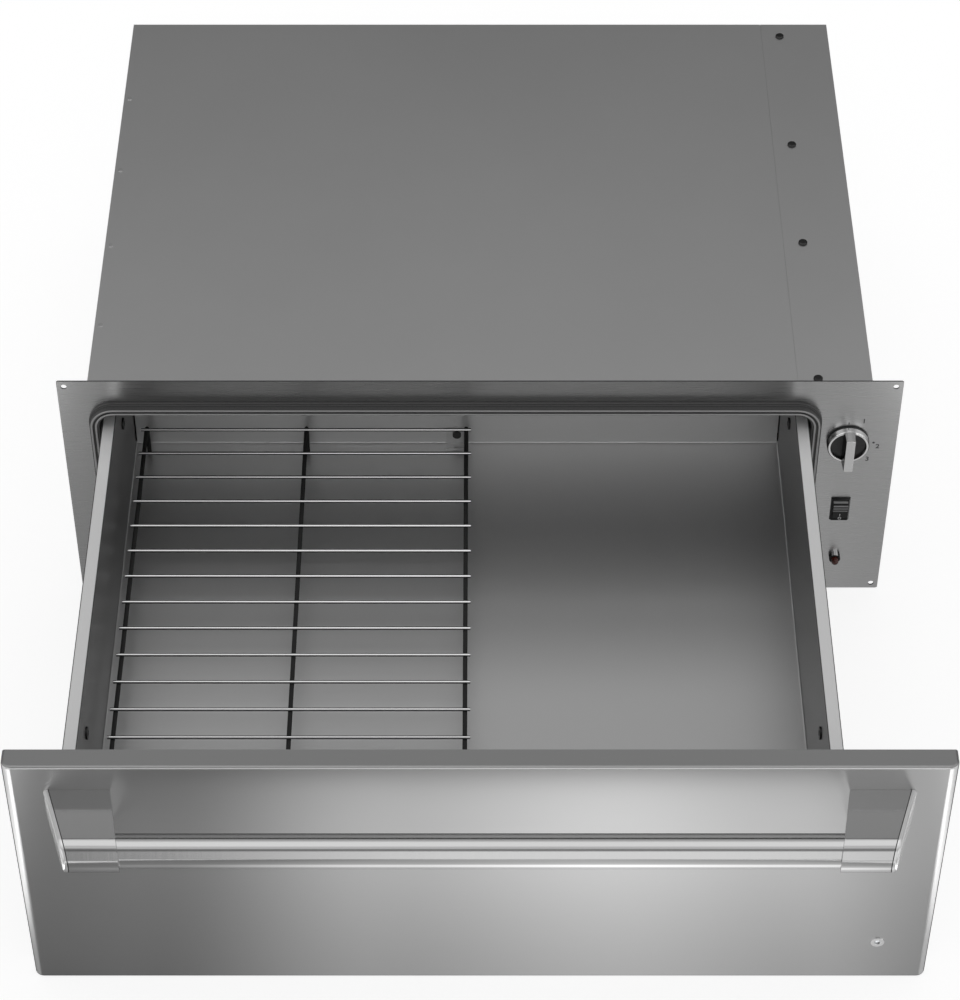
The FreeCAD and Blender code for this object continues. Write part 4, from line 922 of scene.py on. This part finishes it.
# %% Ceramic, sheath and wool
WOOL_GRAIN = 400.0
WOOL_BUMP = 0.6
finish(moulded("bush_ceramic", (0.75, 0.72, 0.68), roughness=0.5), "element_bushes")
finish(moulded("element_sheath", (0.05, 0.045, 0.04), roughness=0.55), "heating_element")
mineral_wool = moulded("mineral_wool", (0.55, 0.52, 0.42), roughness=0.9, grain=WOOL_GRAIN, bump=WOOL_BUMP)
finish(mineral_wool, "insulation_top", "insulation_bottom", "insulation_left", "insulation_right",
       "insulation_back", "panel_insulation")

# %% [markdown]
# Lenses. The indicator's red lens lets little light through, and the light guide in the
# panel is clear acrylic. A glass shader could make the guide and a plain one the lens.
# One shader with two shares of transmission makes both, with acrylic's index of 1.49.

# %% Lenses
ACRYLIC = 1.49
LENS_GRAIN = 500.0
LENS_SPREAD = (0.6, 1.5)


def lens(name, colour, roughness, transmission):
    material, tree, shader = principled(name, colour, 0.0, roughness)
    shader.inputs["Transmission Weight"].default_value = transmission
    shader.inputs["IOR"].default_value = ACRYLIC
    fine = object_noise(tree, EVEN, LENS_GRAIN)
    low, high = (roughness * share for share in LENS_SPREAD)
    tree.links.new(ranged(tree, fine, low, high), shader.inputs["Roughness"])
    return material


red_lens = lens("red_lens", (0.10, 0.015, 0.008), roughness=0.1, transmission=0.2)
finish(red_lens, "indicator_lens")
clear_guide = lens("clear_guide", (0.8, 0.82, 0.84), roughness=0.05, transmission=0.9)
finish(clear_guide, "window_lens")
print("materials:", len(bpy.data.materials))

# %% [markdown]
# Rounded edges. The CAD solids have sharp edges where real sheet, castings and rubber are
# slightly rounded, and an edge with no width can't catch light. One way is to model each
# piece again. A shorter way is kept here: the solid's own mesh is copied, its loose
# triangles are merged, flat areas are dissolved to single faces, and a bevel is run along
# every edge that turns sharply. Weighted normals then keep the flat faces flat.

# %% A merged copy
MERGE = 0.00001
FLAT_ANGLE = math.radians(0.5)


def merged_copy(node, name):
    """A copy of a CAD node whose loose triangles are joined into whole faces."""
    deselect()
    piece = bpy.data.objects.new(name, nodes[node].data.copy())
    bpy.context.scene.collection.objects.link(piece)
    piece.select_set(True)
    bpy.context.view_layer.objects.active = piece
    bpy.ops.mesh.customdata_custom_splitnormals_clear()
    bpy.ops.object.mode_set(mode="EDIT")
    bpy.ops.mesh.select_all(action="SELECT")
    bpy.ops.mesh.remove_doubles(threshold=MERGE)
    bpy.ops.mesh.dissolve_limited(angle_limit=FLAT_ANGLE)
    bpy.ops.object.mode_set(mode="OBJECT")
    return piece


print("points nearer than", MERGE * 1000, "mm are merged")

# %% Rounded copies
SHARP_ANGLE = math.radians(35.0)
FINE_EDGE = 0.0004
RUBBER_EDGE = 0.0006
CAST_EDGE = 0.001
RING_EDGE = 0.0003


def rounded_copy(node, name, body, width, segments=2):
    """A copy of a CAD node with its sharp edges rounded, which stands in for the node."""
    piece = merged_copy(node, name)
    bevel = piece.modifiers.new("round", "BEVEL")
    bevel.width = width
    bevel.segments = segments
    bevel.limit_method = "ANGLE"
    bevel.angle_limit = SHARP_ANGLE
    bevel.use_clamp_overlap = True
    bpy.ops.object.modifier_apply(modifier=bevel.name)
    bpy.ops.object.shade_smooth_by_angle(angle=SHARP_ANGLE)
    flat = piece.modifiers.new("flat", "WEIGHTED_NORMAL")
    flat.keep_sharp = True
    bpy.ops.object.modifier_apply(modifier=flat.name)
    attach(piece, body)
    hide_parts(node)
    print(name, len(piece.data.polygons), "faces")


rounded_copy("drawer_pan", "pan_rounded", "drawer", FINE_EDGE)
rounded_copy("opening_gasket", "gasket_rounded", "case", RUBBER_EDGE, segments=3)
rounded_copy("front_frame", "frame_rounded", "case", FINE_EDGE)
for side in ("left", "right"):
    rounded_copy(f"handle_bracket_{side}", f"bracket_{side}_rounded", "drawer", CAST_EDGE)
rounded_copy("knob_grip", "grip_rounded", "knob", FINE_EDGE)
rounded_copy("knob_ring", "ring_rounded", "knob", RING_EDGE)
rounded_copy("switch_housing", "switch_rounded", "case", FINE_EDGE)

# %% [markdown]
# Printed marks. The dial is printed on the frame: a tick at the top, a dot at the right
# and the numerals 1 to 3 beside the knob. The rocker carries I and O. A material could
# draw them, but as thin mesh they stay sharp from close by. Each mark is a text or a
# circle that is given a little thickness, turned upright and set on its surface.

# %% Setting a mark on its surface
PRINT_THICK = 0.00005
NUMERAL_WEIGHT = 0.00012
DISC_CORNERS = 24


def set_upright(mark, x, y, z, tilt=0.0):
    """Turn a flat mark to face the front and move it to its place, inside its mesh."""
    mark.rotation_euler = (math.radians(90) + tilt, 0, 0)
    mark.location = (x, y, z)
    bpy.ops.object.transform_apply(location=True, rotation=True, scale=True)
    return mark


def printed_text(text, size, x, y, z, tilt=0.0):
    deselect()
    bpy.ops.object.text_add()
    mark = bpy.context.object
    mark.data.body = text
    mark.data.size = size
    mark.data.extrude = PRINT_THICK
    mark.data.offset = NUMERAL_WEIGHT
    mark.data.align_x = "CENTER"
    mark.data.align_y = "CENTER"
    bpy.ops.object.convert(target="MESH")
    return set_upright(bpy.context.object, x, y, z, tilt)


def printed_disc(width, height, x, y, z):
    deselect()
    bpy.ops.mesh.primitive_circle_add(vertices=DISC_CORNERS, radius=height / 2, fill_type="NGON")
    mark = bpy.context.object
    mark.scale = (width / height, 1, 1)
    bpy.ops.object.transform_apply(scale=True)
    bpy.ops.object.mode_set(mode="EDIT")
    bpy.ops.mesh.select_all(action="SELECT")
    bpy.ops.mesh.extrude_region_move(TRANSFORM_OT_translate={"value": (0, 0, PRINT_THICK)})
    bpy.ops.mesh.select_all(action="SELECT")
    bpy.ops.mesh.normals_make_consistent(inside=False)
    bpy.ops.object.mode_set(mode="OBJECT")
    return set_upright(mark, x, y, z)


print("print is", PRINT_THICK * 1000, "mm thick")

# %% Marks of the dial
FRAME_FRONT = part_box("front_frame")[0].y
DIAL_NUMERALS = {"1": (0.3457, 0.0842), "2": (0.3605, 0.0530), "3": (0.3525, 0.0372)}
NUMERAL_SIZE = 0.0072
TICK = (0.3323, 0.0816)
TICK_WIDTH = 0.0010
TICK_HEIGHT = 0.0030
DOT = (0.3565, 0.0578)
DOT_SIZE = 0.0022


def joined(name, marks, body, material):
    """One piece from several marks, on its body and with its ink."""
    deselect()
    for mark in marks:
        mark.select_set(True)
    bpy.context.view_layer.objects.active = marks[0]
    bpy.ops.object.join()
    piece = bpy.context.object
    piece.name = name
    piece.data.materials.clear()
    piece.data.materials.append(material)
    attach(piece, body)
    print(name, len(piece.data.polygons), "faces")


dial = []
for text, (x, z) in DIAL_NUMERALS.items():
    dial.append(printed_text(text, NUMERAL_SIZE, x, FRAME_FRONT, z))
dial.append(printed_disc(DOT_SIZE, DOT_SIZE, DOT[0], FRAME_FRONT, DOT[1]))
dial.append(printed_disc(TICK_WIDTH, TICK_HEIGHT, TICK[0], FRAME_FRONT, TICK[1]))
joined("dial_marks", dial, "case", moulded("dial_ink", (0.02, 0.02, 0.022), 0.5))

# %% Marks on the rocker
ROCKER_MARKS = {"I": -0.0312, "O": -0.0352}
ROCKER_MARK_SIZE = 0.0042
IN_FRONT = -1.0
REARWARDS = Vector((0, 1, 0))


def front_of(node, x, z):
    """Where a line from the front meets a node, and how far the surface leans there."""
    hit, place, normal, face = nodes[node].ray_cast(Vector((x, IN_FRONT, z)), REARWARDS)
    return place, math.atan2(-normal.z, -normal.y)


rocker_middle = sum(corner.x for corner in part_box("switch_rocker")) / 2
rocker_marks = []
for text, z in ROCKER_MARKS.items():
    place, lean = front_of("switch_rocker", rocker_middle, z)
    rocker_marks.append(printed_text(text, ROCKER_MARK_SIZE, *place, tilt=lean))
white_ink = moulded("mark_white", (0.95, 0.95, 0.95), 0.4)
joined("rocker_marks", rocker_marks, "rocker", white_ink)
